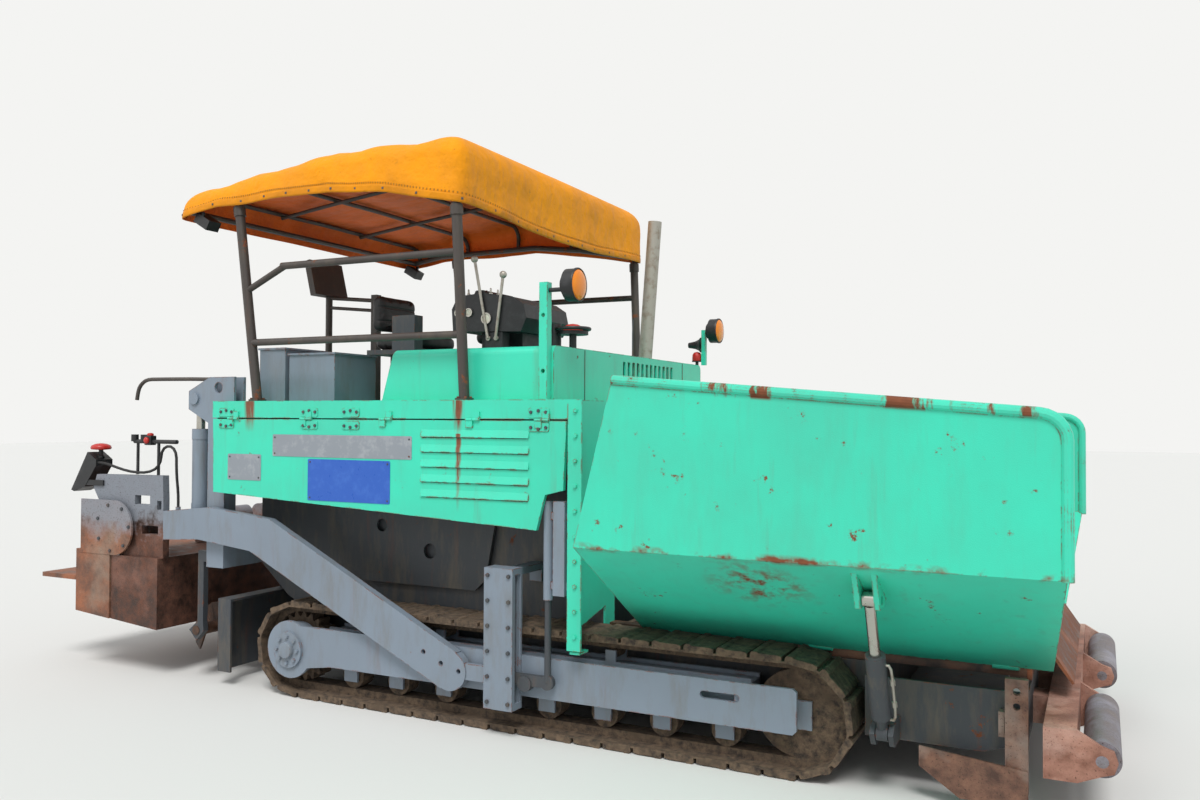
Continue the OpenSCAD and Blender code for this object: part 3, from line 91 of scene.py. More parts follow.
class PaverColours(bpy.types.PropertyGroup):
    """Colours of the paver's finishes."""
    mint: hue("#36D5B2", "Mint enamel", "Body, hood, doors and wings")
    grey: hue("#7E8A97", "Blue-grey enamel", "Tow arms, guides and track frames")
    iron: hue("#3A3E43", "Dark frame paint", "Chassis, canopy tubes and brackets")
    rust: hue("#7B4529", "Rust", "Bare steel that has rusted")
    earth: hue("#6F5C49", "Dried earth", "What cakes the tracks")
    canvas: hue("#F59B00", "Canopy outside", "Coated canvas, sunlit side")
    # Canopy inside: the same canvas made darker and redder, painted shade for the underside seen in shade from below
    lining: hue("#EC6A1C", "Canopy inside", "Coated canvas seen from below")
    vinyl: hue("#1D1C1D", "Seat vinyl", "Seat covers")
    amber: hue("#F58A12", "Amber lens", "Work lamps and beacons")


class PaverSizes(bpy.types.PropertyGroup):
    """Sizes of the dressed pieces."""
    sag: metres(0.016, 0, 0.05, "Canopy sag", "How far the sheet sags between two hoops")
    hem: metres(0.045, 0.02, 0.08, "Hem fold", "Height of the sewn hem")
    bolt: metres(0.03, 0.01, 0.05, "Bolt", "Size of the larger bolts, whose heads are 0.7 of it across the flats")


# Meshes
def lattice(points, around=False, cap=False):
    """Faces over a grid of points, n rings by m points: point (i, j) joins (i, j+1), (i+1, j+1) and (i+1, j).
    With around, the last column joins the first; with cap, the first and last ring are closed by one face each."""
    n, m = points.shape[:2]
    i, j = np.meshgrid(np.arange(n - 1), np.arange(m if around else m - 1), indexing="ij")
    k = (j + 1) % m
    faces = np.stack([i * m + j, i * m + k, (i + 1) * m + k, (i + 1) * m + j], -1).reshape(-1, 4).tolist()
    if cap:
        faces += [list(range(m))[::-1], list(range((n - 1) * m, n * m))]
    return points.reshape(-1, 3), faces


def merge(shapes):
    """One list of vertices and one of faces from several shapes, each face index moved on by the vertices before it."""
    starts = np.cumsum([0] + [len(s[0]) for s in shapes[:-1]])
    faces = [[v + int(b) for v in f] for s, b in zip(shapes, starts) for f in s[1]]
    return np.concatenate([s[0] for s in shapes]), faces


def tube(path, radius, sides=12, across=(0, 1, 0)):
    """A round tube along a path: at each point, radius times (cos a, sin a) in the plane square to the heading."""
    path = np.asarray(path, float)
    heading = np.gradient(path, axis=0)
    heading /= np.linalg.norm(heading, axis=1)[:, None]
    u = np.cross(np.asarray(across, float), heading)
    u /= np.linalg.norm(u, axis=1)[:, None]
    v = np.cross(heading, u)
    a = np.linspace(0, 2 * np.pi, sides, endpoint=False)
    radius = np.broadcast_to(radius, len(path))[:, None, None]
    ring = u[:, None] * np.cos(a)[None, :, None] + v[:, None] * np.sin(a)[None, :, None]
    return lattice(path[:, None] + radius * ring, around=True, cap=True)


AXES = {"x": [1, 2, 0], "y": [2, 0, 1], "z": [0, 1, 2]}


def set_on(points, axis, centre):
    """Points given as two distances across and one along an axis, put on that axis through the centre."""
    out = np.empty_like(points)
    out[..., AXES[axis]] = points
    return out + np.asarray(centre, float)


def turned(profile, centre, axis="x", sides=32):
    """A solid of revolution: each (radius, distance) of the profile swept round the axis through the centre."""
    p = np.asarray(profile, float)
    a = np.linspace(0, 2 * np.pi, sides, endpoint=False)
    ring = np.stack([p[:, :1] * np.cos(a), p[:, :1] * np.sin(a), np.repeat(p[:, 1:], sides, 1)], -1)
    return lattice(set_on(ring, axis, centre), around=True, cap=True)


def slab(low, high):
    """A box between two corners: each vertex takes one corner's value on each axis."""
    pick = np.array([[0, 0, 0], [1, 0, 0], [1, 1, 0], [0, 1, 0], [0, 0, 1], [1, 0, 1], [1, 1, 1], [0, 1, 1]])
    low, high = np.asarray(low, float), np.asarray(high, float)
    faces = [[3, 2, 1, 0], [4, 5, 6, 7], [0, 1, 5, 4], [1, 2, 6, 5], [2, 3, 7, 6], [3, 0, 4, 7]]
    return low + pick * (high - low), faces


def copies(faces, size, count):
    """The faces of count like shapes, whose vertices follow each other size by size."""
    return [[v + size * k for v in f] for k in range(count) for f in faces]


def bolts(centres, axis, across, height, sides=6):
    """Hexagonal heads at all the centres at once: one chamfered prism, added to each centre by broadcasting."""
    centres = np.asarray(centres, float)
    r = across / 2 / math.cos(math.pi / 6)
    base, faces = turned([(r, 0), (r, height * 0.7), (r * 0.86, height)], (0, 0, 0), axis, sides)
    faces = [f[::1 if height > 0 else -1] for f in faces]
    return (centres[:, None] + base[None]).reshape(-1, 3), copies(faces, len(base), len(centres))


def mirrored(shape):
    """The same shape on the other side of the machine: every y changes its sign and every face turns round."""
    return shape[0] * np.array([1, -1, 1]), [f[::-1] for f in shape[1]]


SIDES = (("right", lambda shape: shape), ("left", mirrored))


def circle(centre, radius, count, axis="y", start=0.0):
    """Centres spread evenly on a circle round the centre, in the plane square to the axis."""
    a = start + np.arange(count) * 2 * np.pi / count
    return set_on(np.stack([radius * np.cos(a), radius * np.sin(a), np.zeros(count)], -1), axis, centre)


def row(first, last, count):
    """Centres spread evenly on a straight line between two points."""
    return np.linspace(np.asarray(first, float), np.asarray(last, float), count)


def closed_ring(profile, centre, axis="x", sides=40):
    """A ring: a closed profile of (radius, distance) swept round the axis, without end faces."""
    points, faces = turned(list(profile) + [profile[0]], centre, axis, sides)
    return points, faces[:-2]


def piece(name, shape, finish, body="root", bevel=0.0, smooth=40, closed=True):
    """Puts a shape into the scene as one mesh with its place in its vertices, and lets it ride on a body. Edges
    sharper than smooth degrees stay sharp, and a closed shape has its faces turned outwards."""
    points, faces = shape
    mesh = bpy.data.meshes.new(name)
    mesh.from_pydata(np.asarray(points, float).tolist(), [], faces)
    if closed:
        solid = bmesh.new()
        solid.from_mesh(mesh)
        bmesh.ops.recalc_face_normals(solid, faces=solid.faces)
        solid.to_mesh(mesh)
        solid.free()
    mesh.update()
    mesh.polygons.foreach_set("use_smooth", np.ones(len(mesh.polygons), bool))
    mesh.set_sharp_from_angle(angle=math.radians(smooth))
    made = bpy.data.objects.new(name, mesh)
    bpy.context.scene.collection.objects.link(made)
    mesh.materials.append(finishes()[finish])
    if bevel:
        edge = made.modifiers.new("edge", "BEVEL")
        edge.width, edge.segments, edge.limit_method = bevel, 2, "ANGLE"
    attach(made, body)
    return made


# Materials
def feed(tree, sockets, values):
    """Gives each socket its value, or links the output that feeds it."""
    for socket, value in zip(sockets, values):
        if isinstance(value, bpy.types.NodeSocket):
            tree.links.new(value, socket)
        else:
            socket.default_value = linear(value)


def add(tree, kind, *values, out=None, **settings):
    """Adds one node and gives its output named out, or else its first one in use. The values go to the inputs in
    use, in their order. A setting with an input's name goes to that input, and any other is the node's own."""
    made = tree.nodes.new("ShaderNode" + kind)
    named = {name: settings.pop(name) for name in list(settings) if name in made.inputs}
    for name, value in settings.items():
        setattr(made, name, value)
    feed(tree, [socket for socket in made.inputs if socket.enabled], values)
    feed(tree, [made.inputs[name] for name in named], named.values())
    return made.outputs[out] if out else next(socket for socket in made.outputs if socket.enabled)


def begin(name):
    """A new material, the function that adds nodes to it, and the object's own coordinates."""
    material = bpy.data.materials.new(name)
    material.use_nodes = True
    node = partial(add, material.node_tree)
    return material, node, node("TexCoord", out="Object")


def coat(material, colour, rough, **more):
    """Gives the material's shader its colour and roughness, and more inputs by name."""
    tree = material.node_tree
    shader = next(n for n in tree.nodes if n.type == "BSDF_PRINCIPLED")
    inputs = {"Base Color": colour, "Roughness": rough, **more}
    feed(tree, [shader.inputs[name] for name in inputs], inputs.values())
    return material


def chain(node, operation, first, *others):
    """The product, or the greatest, of several factors: one math operation carried along them."""
    for other in others:
        first = node("Math", first, other, operation=operation)
    return first


def cover(node, base, colour, factor, low, high, share=1.0):
    """Lays a colour over the base where a factor is high: none of it up to low, and the full share from high on."""
    return node("Mix", node("MapRange", factor, low, high, 0.0, share), base, colour, data_type="RGBA")


def near_line(node, value, centre, width):
    """1 on the centre, falling to 0 at the width to either side of it."""
    away = node("Math", node("Math", value, centre, operation="SUBTRACT"), operation="ABSOLUTE")
    return node("MapRange", away, width, 0.0)


def worn_enamel(name, colour, rust, chips=0.66, edges=0.5, dust=0.25, gloss=0.36, deep=0.0, marks=None):
    """Sprayed enamel on steel plate: an orange-peel skin of about 4 mm, sun-faded in clouds half a metre wide,
    chipped to rust along its edges and in spots of 10 to 80 mm, with rust weeping down and dust in the hollows.
    The marks, a function of node and place, give factors for bare rust and for stain where the photograph has
    them."""
    material, node, where = begin(name)
    paint = cover(node, colour, shade(colour, 0.8, 0.02), node("TexNoise", where, 1.6, 4, 0.6), 0.3, 0.75)
    grime = node("TexNoise", node("Mapping", where, Scale=(1.6, 1.6, 0.35)), 6.0, 8, 0.7)
    paint = cover(node, paint, "#6B6150", grime, 0.48, 0.78, dust)
    flat = node("NewGeometry", out="True Normal")
    turn = node("VectorMath", node("Bevel", Radius=0.01, samples=4), flat, operation="DOT_PRODUCT", out="Value")
    edge = node("MapRange", turn, 0.995, 0.93)
    spots = node("TexNoise", where, 9.0, 12, 0.72)
    chipped = node("MapRange", spots, chips, chips + 0.035)
    bitten = node("MapRange", node("Math", edge, 0.16, spots, operation="MULTIPLY_ADD"),
                  0.76 - edges * 0.16, 0.8 - edges * 0.16)
    bare = chain(node, "MAXIMUM", chipped, bitten)
    rusty = node("Mix", node("TexNoise", where, 34, 6, 0.6), shade(rust, 0.45), shade(rust, 1.35), data_type="RGBA")
    weep = node("TexNoise", node("Mapping", where, Scale=(3.0, 3.0, 0.28)), 5.0, 6, 0.6)
    stained = cover(node, paint, rusty, weep, 0.6, 0.86, 0.34 + deep)
    if marks:
        more, run = marks(node, where)
        bare = chain(node, "MAXIMUM", bare, more)
        stained = node("Mix", run, stained, rusty, data_type="RGBA")
    height = node("Math", node("TexNoise", where, 240, 2, 0.6), bare, operation="SUBTRACT")
    dents = node("Bump", Height=node("TexNoise", where, 2.6, 2, 0.6), Distance=0.012, Strength=0.35)
    return coat(material, node("Mix", bare, stained, rusty, data_type="RGBA"),
                node("MapRange", bare, 0.0, 1.0, gloss, 0.86),
                Normal=node("Bump", Height=height, Distance=0.0012, Strength=0.5, Normal=dents))


def body_marks(node, where):
    """Rust that has run 200 mm down from the feet of the canopy posts, and on through the louvres below one."""
    across, height = node("SeparateXYZ", where, out="X"), node("SeparateXYZ", where, out="Z")
    streak = node("TexNoise", node("Mapping", where, Scale=(2.0, 2.0, 0.12)), 26, 5, 0.6)
    streak = node("MapRange", streak, 0.3, 0.62)
    rear, front = POSTS_X
    runs = [chain(node, "MULTIPLY", near_line(node, across, x, width), node("MapRange", height, top - reach, top),
                  node("MapRange", height, top + 0.004, top), streak)
            for x, top, reach, width in ((rear, 1.836, 0.2, 0.055), (front, 1.836, 0.2, 0.05),
                                         (0.15, 1.65, 0.45, 0.022))]
    run = chain(node, "MAXIMUM", *runs)
    return node("MapRange", run, 0.55, 0.75), node("MapRange", run, 0.02, 0.34)


def wing_marks(node, where):
    """Paint gone in patches along the wing's rolled rim, and a rusty scrape where the wing is creased."""
    across, height = node("SeparateXYZ", where, out="X"), node("SeparateXYZ", where, out="Z")
    line = node("Math", across, 0.07, height, operation="MULTIPLY_ADD")
    patch = node("TexNoise", node("Mapping", where, Scale=(1.0, 0.3, 0.3)), 4.5, 8, 0.65)
    rim = chain(node, "MULTIPLY", node("MapRange", line, 1.962, 1.975), node("MapRange", patch, 0.56, 0.6))
    scrape = chain(node, "MULTIPLY", near_line(node, height, 0.98, 0.16), near_line(node, across, 1.93, 0.3),
                   node("MapRange", node("TexNoise", where, 11, 8, 0.7), 0.44, 0.6))
    crease = chain(node, "MULTIPLY", near_line(node, height, 1.125, 0.03),
                   node("MapRange", node("TexNoise", where, 5, 6, 0.6), 0.5, 0.66))
    both = chain(node, "MAXIMUM", scrape, crease)
    return chain(node, "MAXIMUM", rim, node("MapRange", both, 0.45, 0.6)), node("MapRange", both, 0.05, 0.6)


def rusted_plate(name, rust, dark, light, scale=14.0, shine=0.2, above=None):
    """Hot-rolled plate left bare: orange and brown rust in scabs 1 m / scale wide, which is 17 to 170 mm here,
    rubbed dark and shinier where mix slides. Above is a height and the colour of the scratched paint left over
    it."""
    material, node, where = begin(name)
    scab = node("TexNoise", where, scale, 10, 0.68)
    base = cover(node, dark, rust, scab, 0.36, 0.66)
    base = cover(node, base, light, node("TexNoise", where, 2.2, 5, 0.6), 0.52, 0.72)
    if above:
        line, paint = above
        level = node("Math", scab, 0.5, node("SeparateXYZ", where, out="Z"), operation="MULTIPLY_ADD")
        base = cover(node, base, paint, level, line + 0.2, line + 0.32, 0.85)
    base = cover(node, base, shade(dark, 0.5), node("TexNoise", where, 120, 3, 0.6), 0.6, 0.72)
    height = node("Math", scab, node("TexNoise", where, 90, 4, 0.6), operation="ADD")
    return coat(material, base, node("MapRange", scab, 0.3, 0.7, 0.62 - shine, 0.9), Metallic=0.15,
                Normal=node("Bump", Height=height, Distance=0.003, Strength=0.7))


def caked_steel(name, earth, iron):
    """Cast track steel under dried earth: lumps of 15 to 40 mm, rubbed to dark metal where the parts run on each
    other."""
    material, node, where = begin(name)
    lumps = node("TexNoise", where, 26, 10, 0.7)
    base = cover(node, iron, earth, lumps, 0.35, 0.62)
    base = cover(node, base, shade(earth, 0.62), node("TexNoise", where, 7, 5, 0.6), 0.5, 0.7)
    return coat(material, base, 0.88, Normal=node("Bump", Height=lumps, Distance=0.008, Strength=0.8))


def coated_canvas(name, colour, dirt):
    """PVC-coated canvas: a plain weave (6 mm here, drawn four times coarser than real so that it shows), dusty
    folds and small darker spots. The weave follows the sheet's own UV map, which is in metres; on the hem, which
    has none, it doesn't show."""
    material, node, where = begin(name)
    flat = node("TexCoord", out="UV")
    threads = [node("TexWave", flat, 52.0, bands_direction=way, out="Fac") for way in ("X", "Y")]
    base = cover(node, colour, dirt, node("TexNoise", where, 2.4, 8, 0.65), 0.42, 0.78)
    base = cover(node, base, shade(dirt, 0.6), node("TexNoise", where, 30, 6, 0.7), 0.62, 0.8)
    slant = node("Mapping", where, Rotation=(0.6, 0.5, 0.8), Scale=(0.5, 3.2, 1.2))
    folds = node("Math", node("TexNoise", slant, 2.6, 4, 0.5), node("TexNoise", where, 6.5, 6, 0.55), operation="ADD")
    creases = node("Bump", Height=folds, Distance=0.05, Strength=0.55)
    weave = node("Bump", Height=chain(node, "MULTIPLY", *threads), Distance=0.0012, Strength=0.5, Normal=creases)
    return coat(material, base, 0.62, Normal=weave, **{"Sheen Weight": 0.05, "Specular IOR Level": 0.18})


def grained(name, colour, rough=0.5, grain=170.0, depth=0.0008, metallic=0.0, wear=None):
    """A moulded or rolled surface: plain colour with faint scuffs, and a grain 1 m / grain wide that breaks its
    shine, which is 1 to 25 mm here."""
    material, node, where = begin(name)
    scuff = node("TexNoise", where, 18, 6, 0.65)
    base = cover(node, colour, wear or shade(colour, 1.8, 0.02), scuff, 0.5, 0.8)
    return coat(material, base, node("MapRange", scuff, 0.3, 0.8, rough - 0.08, min(1, rough + 0.2)),
                Metallic=metallic,
                Normal=node("Bump", Height=node("TexNoise", where, grain, 3, 0.6), Distance=depth, Strength=0.5))


FINISH = {}


def finishes():
    """All the finishes, made once and kept by name."""
    if FINISH:
        return FINISH
    c = bpy.context.scene.paver_colours
    mint, grey, iron, rust = c.mint, c.grey, c.iron, c.rust
    scabs = "#43291C", "#94593A"
    FINISH.update(
        mint=worn_enamel("sprayed_mint_enamel", mint, rust, 0.7, 0.75, 0.12, marks=body_marks),
        wing=worn_enamel("scraped_mint_enamel", mint, rust, 0.68, 0.8, 0.14, marks=wing_marks),
        grey=worn_enamel("sprayed_blue_grey_enamel", grey, rust, 0.66, 0.55, 0.5, 0.45),
        iron=worn_enamel("oily_black_frame_paint", iron, rust, 0.62, 0.4, 0.8, 0.55, 0.2),
        tube=worn_enamel("brown_black_tube_paint", "#3A322D", rust, 0.6, 0.3, 0.4, 0.5),
        rust=rusted_plate("rusted_hot_rolled_plate", rust, *scabs),
        mix=rusted_plate("tar_stained_plate", "#5A4032", "#221C19", "#77513A", 10, 0.25),
        screed=rusted_plate("heat_browned_screed_plate", "#6A4434", "#35241D", "#8A6152", 12, 0.2, (1.02, "#848B94")),
        slider=rusted_plate("worn_extension_plate", "#A0674A", "#5A4034", "#95806F", 6, 0.2, (0.98, "#878D95")),
        plank=rusted_plate("pale_rusted_plank", "#B38472", "#7A5040", "#CBA798", 7, 0.1),
        roller=rusted_plate("rubbed_roller_steel", "#8A8890", "#5C4E4A", "#A5A3AC", 8, 0.32),
        plough=rusted_plate("rusted_plough_plate", "#8B6552", "#4B332A", "#9C8B80", 9, 0.15),
        earth=caked_steel("earth_caked_cast_steel", c.earth, "#2E2722"),
        chrome=grained("hard_chromed_rod", "#B9B6AE", 0.22, 60, 0.0002, 1.0, "#8E8578"),
        pipe=grained("aluminised_exhaust_tube", "#A9A49A", 0.42, 80, 0.0006, 0.6, "#7C6550"),
        canvas=coated_canvas("coated_canvas_outside", c.canvas, "#D98A1E"),
        hem=coated_canvas("coated_canvas_hem", shade(c.canvas, 0.82), "#B8741C"),
        # Underside of the sheet: canvas and dirt colours made darker and redder, painted shade for the side seen from
        # below
        lining=coated_canvas("coated_canvas_inside_painted_shade", c.lining, "#C2521A"),
        thread=grained("waxed_sewing_thread", "#8E6A2A", 0.7, 900, 0.0002),
        strip=grained("brushed_grey_sign_plate", "#8D939A", 0.4, 300, 0.0004, 0.35, "#A9ADB1"),
        blue=grained("blue_lacquered_sign_plate", "#2459B4", 0.32, 200, 0.0003, 0.0, "#3B6CC0"),
        rustbolt=rusted_plate("rusted_bolt_steel", rust, *scabs, 60, 0.1),
        vinyl=grained("grained_seat_vinyl", c.vinyl, 0.5, 260, 0.001),
        plastic=grained("moulded_black_abs", "#17181A", 0.45, 220, 0.0006),
        rubber=grained("black_hose_rubber", "#121212", 0.6, 150, 0.0005),
        amber=grained("amber_polycarbonate_lens", c.amber, 0.15, 40, 0.0003, 0.0, "#F9A53A"),
        red=grained("red_moulded_knob", "#B3261E", 0.4, 120, 0.0004),
        pale=grained("worn_ivory_knob", "#C9C4B4", 0.4, 120, 0.0004),
    )
    return FINISH


NODE_FINISH = {
    "mint": "body_shell front_bulkhead engine_hood side_door_right side_door_left lamp_posts",
    "wing": "wing_right wing_left",
    "grey": "track_frames tow_guides level_barrels tow_arms rear_towers lift_barrel_right lift_barrel_left "
            "deck_lockers",
    "iron": "chassis front_frame engine_block seat_frames tow_slide_right tow_slide_left wing_barrel_right "
            "wing_barrel_left retaining_plate auger_hanger",
    "tube": "canopy_frame canopy_hoops display_arm",
    "rust": "apron",
    "plank": "push_beam",
    "roller": "push_roller_right push_roller_left",
    "plough": "ploughs",
    "screed": "screed_body",
    "slider": "screed_extension_right screed_extension_left",
    "mix": "hopper_floor auger_right auger_left",
    "earth": "conveyors track_right track_left track_wheels",
    "chrome": "wing_rod_right wing_rod_left lift_rod_right lift_rod_left",
    "pipe": "exhaust_pipe control_levers",
    "canvas": "canopy_cover",
    "vinyl": "seat_cushions",
    "plastic": "operator_console screed_controls work_lamps corner_lamps",
    "rubber": "control_hose",
}


class PAVER_OT_finishes(bpy.types.Operator):
    """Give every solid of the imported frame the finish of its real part"""
    bl_idname = "paver.finishes"
    bl_label = "Finishes"

    def execute(self, context):
        for finish, names in NODE_FINISH.items():
            for name in names.split():
                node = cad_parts[name]
                node.data.materials.clear()
                node.data.materials.append(finishes()[finish])
        return {"FINISHED"}


class PAVER_OT_stage(bpy.types.Operator):
    """Set the camera at the photograph's angle, with a pale floor and level studio light"""
    bl_idname = "paver.stage"
    bl_label = "Stage"

    def execute(self, context):
        scene = context.scene
        yaw, pitch, roll = 0.462, -0.0192, 0.0049
        ahead = np.array([-math.sin(yaw) * math.cos(pitch), math.cos(yaw) * math.cos(pitch), -math.sin(pitch)])
        right = np.array([math.cos(yaw), math.sin(yaw), 0])
        up = np.cross(right, ahead)
        across = math.cos(roll) * right + math.sin(roll) * up
        above = -math.sin(roll) * right + math.cos(roll) * up
        view = Matrix(np.column_stack([across, above, -ahead]).tolist()).to_4x4()
        view.translation = (3.346, -5.908, 1.736)
        camera = bpy.data.objects.new("camera", bpy.data.cameras.new("camera"))
        camera.data.lens, camera.data.sensor_width = 30.19, 36
        scene.collection.objects.link(camera)
        camera.matrix_world = view
        scene.camera = camera
        floor = bpy.data.objects.new("floor", bpy.data.meshes.new("floor"))
        reach = 60
        corners = [(-reach, -reach, 0), (reach, -reach, 0), (reach, reach, 0), (-reach, reach, 0)]
        floor.data.from_pydata(corners, [], [(0, 1, 2, 3)])
        scene.collection.objects.link(floor)
        material, _, _ = begin("pale_studio_floor")
        floor.data.materials.append(coat(material, "#D9D8D4", 0.9))
        world = bpy.data.worlds.new("studio")
        world.use_nodes = True
        scene.world = world
        tree = world.node_tree
        back = next(n for n in tree.nodes if n.type == "BACKGROUND")
        node = partial(add, tree)
        rays = [node("LightPath", out=f"Is {kind} Ray") for kind in ("Camera", "Glossy", "Transmission")]
        sky = node("Mix", chain(node, "MAXIMUM", *rays), "#B9BDC1", "#F4F4F2", data_type="RGBA")
        feed(tree, [back.inputs["Color"], back.inputs["Strength"]], [sky, 1.0])
        for name, power, angle, turn in (("sun", 2.3, 22, (0.62, 0.05, 0.35)), ("fill", 0.7, 60, (0.95, 0.1, -0.9))):
            lamp = bpy.data.objects.new(name, bpy.data.lights.new(name, "SUN"))
            lamp.data.energy, lamp.data.angle = power, math.radians(angle)
            lamp.rotation_euler = turn
            scene.collection.objects.link(lamp)
        scene.view_settings.view_transform = "Standard"
        return {"FINISHED"}


HOSE = [(x, -1.213, z) for x, z in
        ((-2.87, 1.42), (-2.835, 1.42), (-2.795, 1.416), (-2.74, 1.405), (-2.678, 1.391), (-2.61, 1.377),
         (-2.54, 1.367), (-2.47, 1.363), (-2.41, 1.364), (-2.355, 1.372), (-2.308, 1.388), (-2.276, 1.411),
         (-2.256, 1.441), (-2.248, 1.474), (-2.242, 1.503), (-2.222, 1.529), (-2.193, 1.542), (-2.161, 1.542),
         (-2.132, 1.528), (-2.113, 1.502), (-2.105, 1.468), (-2.104, 1.42))]
HOSE += [(-2.105, -1.21, 1.37), (-2.107, -1.204, 1.32), (-2.109, -1.196, 1.27), (-2.11, -1.191, 1.22),
         (-2.11, -1.19, 1.18), (-2.11, -1.19, 1.145)]


class PAVER_OT_hose(bpy.types.Operator):
    """Hang the control hose between the box on the screed and the gland on the tow arm"""
    bl_idname = "paver.hose"
    bl_label = "Control hose"

    def execute(self, context):
        route = np.array(HOSE)
        hose = piece("control_hose_rubber", tube(route, 0.009, 16), "rubber", "screed")
        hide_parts("control_hose")
        return {"FINISHED"}


HEM_LINE = [(-2.077, 3.04), (-1.727, 3.09), (-0.807, 3.1), (-0.377, 3.05), (0.15, 2.95)]
ROOF_LINE = [(-2.077, 3.225), (-1.447, 3.302), (-0.797, 3.372), (0.15, 3.366)]
ROOF_TOP = 3.372
SHOULDER = 0.13  # radius of the quarter circle between roof and valance
CLEAR = 0.006  # how far the sheet keeps inside the CAD's cover
HALF_WIDTH = 1.25
FIRST_HOOP, HOOP_STEP, LAST_HOOP = -1.963, 0.49975, 0.036
VALANCE, CORNER, TOP = 12, 9, 26  # rings of points up the valance, over the shoulder and in to the middle
PLAN_POWER = 40  # squareness of the plan: 2 would be an ellipse


def canopy_points(sag, columns=480):
    """Points of the canopy sheet, ring by ring: up the valance, over the shoulder and in to the middle. The plan
    is a superellipse, and each ring is that plan drawn in by its inset. Its height runs from the hem line to the
    roof line less the shoulder's radius, then follows a quarter circle. Between two hoops the top sinks by sag
    times the squared sine of the way between them, with creases up to 6 mm deep crossing it on the slant. The
    valance flutters outwards by up to 12 mm in waves 0.3 to 1.2 m long, with creases of up to 7 mm beside them."""
    low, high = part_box("canopy_cover")
    mid = np.array([(low.x + high.x) / 2, 0.0])
    half = np.array([(high.x - low.x) / 2, HALF_WIDTH]) - CLEAR
    r = SHOULDER - CLEAR
    t = np.linspace(0.12, math.pi / 2, CORNER)
    inward = np.linspace(0, 1, TOP + 1)[1:] ** 0.9
    inset = np.concatenate([np.zeros(VALANCE), r * (1 - np.cos(t)), r + inward * (half[0] - r - 0.01)])
    up = np.concatenate([np.linspace(0, 1, VALANCE), np.ones(CORNER + TOP)])
    over = np.concatenate([np.zeros(VALANCE), r * np.sin(t), np.full(TOP, r)])
    a = np.linspace(0, 2 * np.pi, columns, endpoint=False) + np.pi / columns
    reach = (np.abs(np.cos(a)) ** PLAN_POWER + np.abs(np.sin(a)) ** PLAN_POWER) ** (-1 / PLAN_POWER)
    plan = np.stack([reach * np.cos(a), reach * np.sin(a)], -1)
    xy = mid + plan[None] * (half - inset[:, None])[:, None]
    x, y = xy[..., 0], xy[..., 1]
    scoop = np.cos(np.pi * np.clip(y / 2.5, -0.5, 0.5)) ** 2
    hem = np.interp(x, *zip(*HEM_LINE)) - 0.05 * np.clip((x + 0.05) / 0.2, 0, 1) * scoop
    hem = hem + 0.006 * np.sin(8.1 * x + 6.3 * y) * np.abs(np.sin(3.1 * x))
    roof = np.interp(x, *zip(*ROOF_LINE))
    z = hem + (roof - SHOULDER - hem) * up[:, None] + over[:, None] - 0.004 * (np.abs(y) / 1.25) ** 2
    between = np.clip(np.sin(np.pi * (x - FIRST_HOOP) / HOOP_STEP) ** 2, 0, 1) * ((x > FIRST_HOOP) & (x < LAST_HOOP))
    loose = np.clip((over[:, None] / r - 0.3) / 0.7, 0, 1)
    slant = np.sin(16 * (x + 0.9 * np.abs(y)) + 2 * np.sin(3 * y)) ** 3
    z = z - loose * between * (sag + 0.006 * slant) - loose * 0.0005
    wave = 0.5 + 0.3 * np.sin(9.3 * x + 5.1 * y) + 0.2 * np.sin(21 * x - 13 * y + 1.0)
    crease = 0.007 * np.maximum(0, np.sin(13 * (x + 1.2 * z))) * (over[:, None] < r)
    out = (1 - up[:, None] ** 3 * 0.9) * 0.012 * wave + crease
    square = np.abs(plan) ** 30
    heading = np.sign(plan) * square / np.linalg.norm(square, axis=-1)[:, None]
    return np.stack([x + out * heading[None, :, 0], y + out * heading[None, :, 1], z], -1), heading


def along_hem(points, heading, height, every, size):
    """Small pads lying on the valance at one height over the hem, at every so many columns: each a flat box turned
    to the sheet, size (along, up, out)."""
    rise = points[:VALANCE, :, 2] - points[:1, :, 2]
    share = np.clip(height / np.maximum(rise[-1], 1e-6), 0, 1) * (VALANCE - 1)
    low = np.floor(share).astype(int)
    column = np.arange(points.shape[1])
    spot = points[low, column] + (points[low + 1, column] - points[low, column]) * (share - low)[:, None]
    spot, out = spot[::every], np.concatenate([heading, np.zeros((len(heading), 1))], 1)[::every]
    along = np.cross([0, 0, 1], out)
    base, faces = slab((-0.5, -0.5, 0), (0.5, 0.5, 1))
    pads = spot[:, None] + base[None, :, :1] * size[0] * along[:, None]
    pads = pads + base[None, :, 1:2] * size[1] * np.array([0, 0, 1.0])
    pads = pads + (base[None, :, 2:] * size[2] + 0.0002) * out[:, None]
    return pads.reshape(-1, 3), copies(faces, len(base), len(spot))


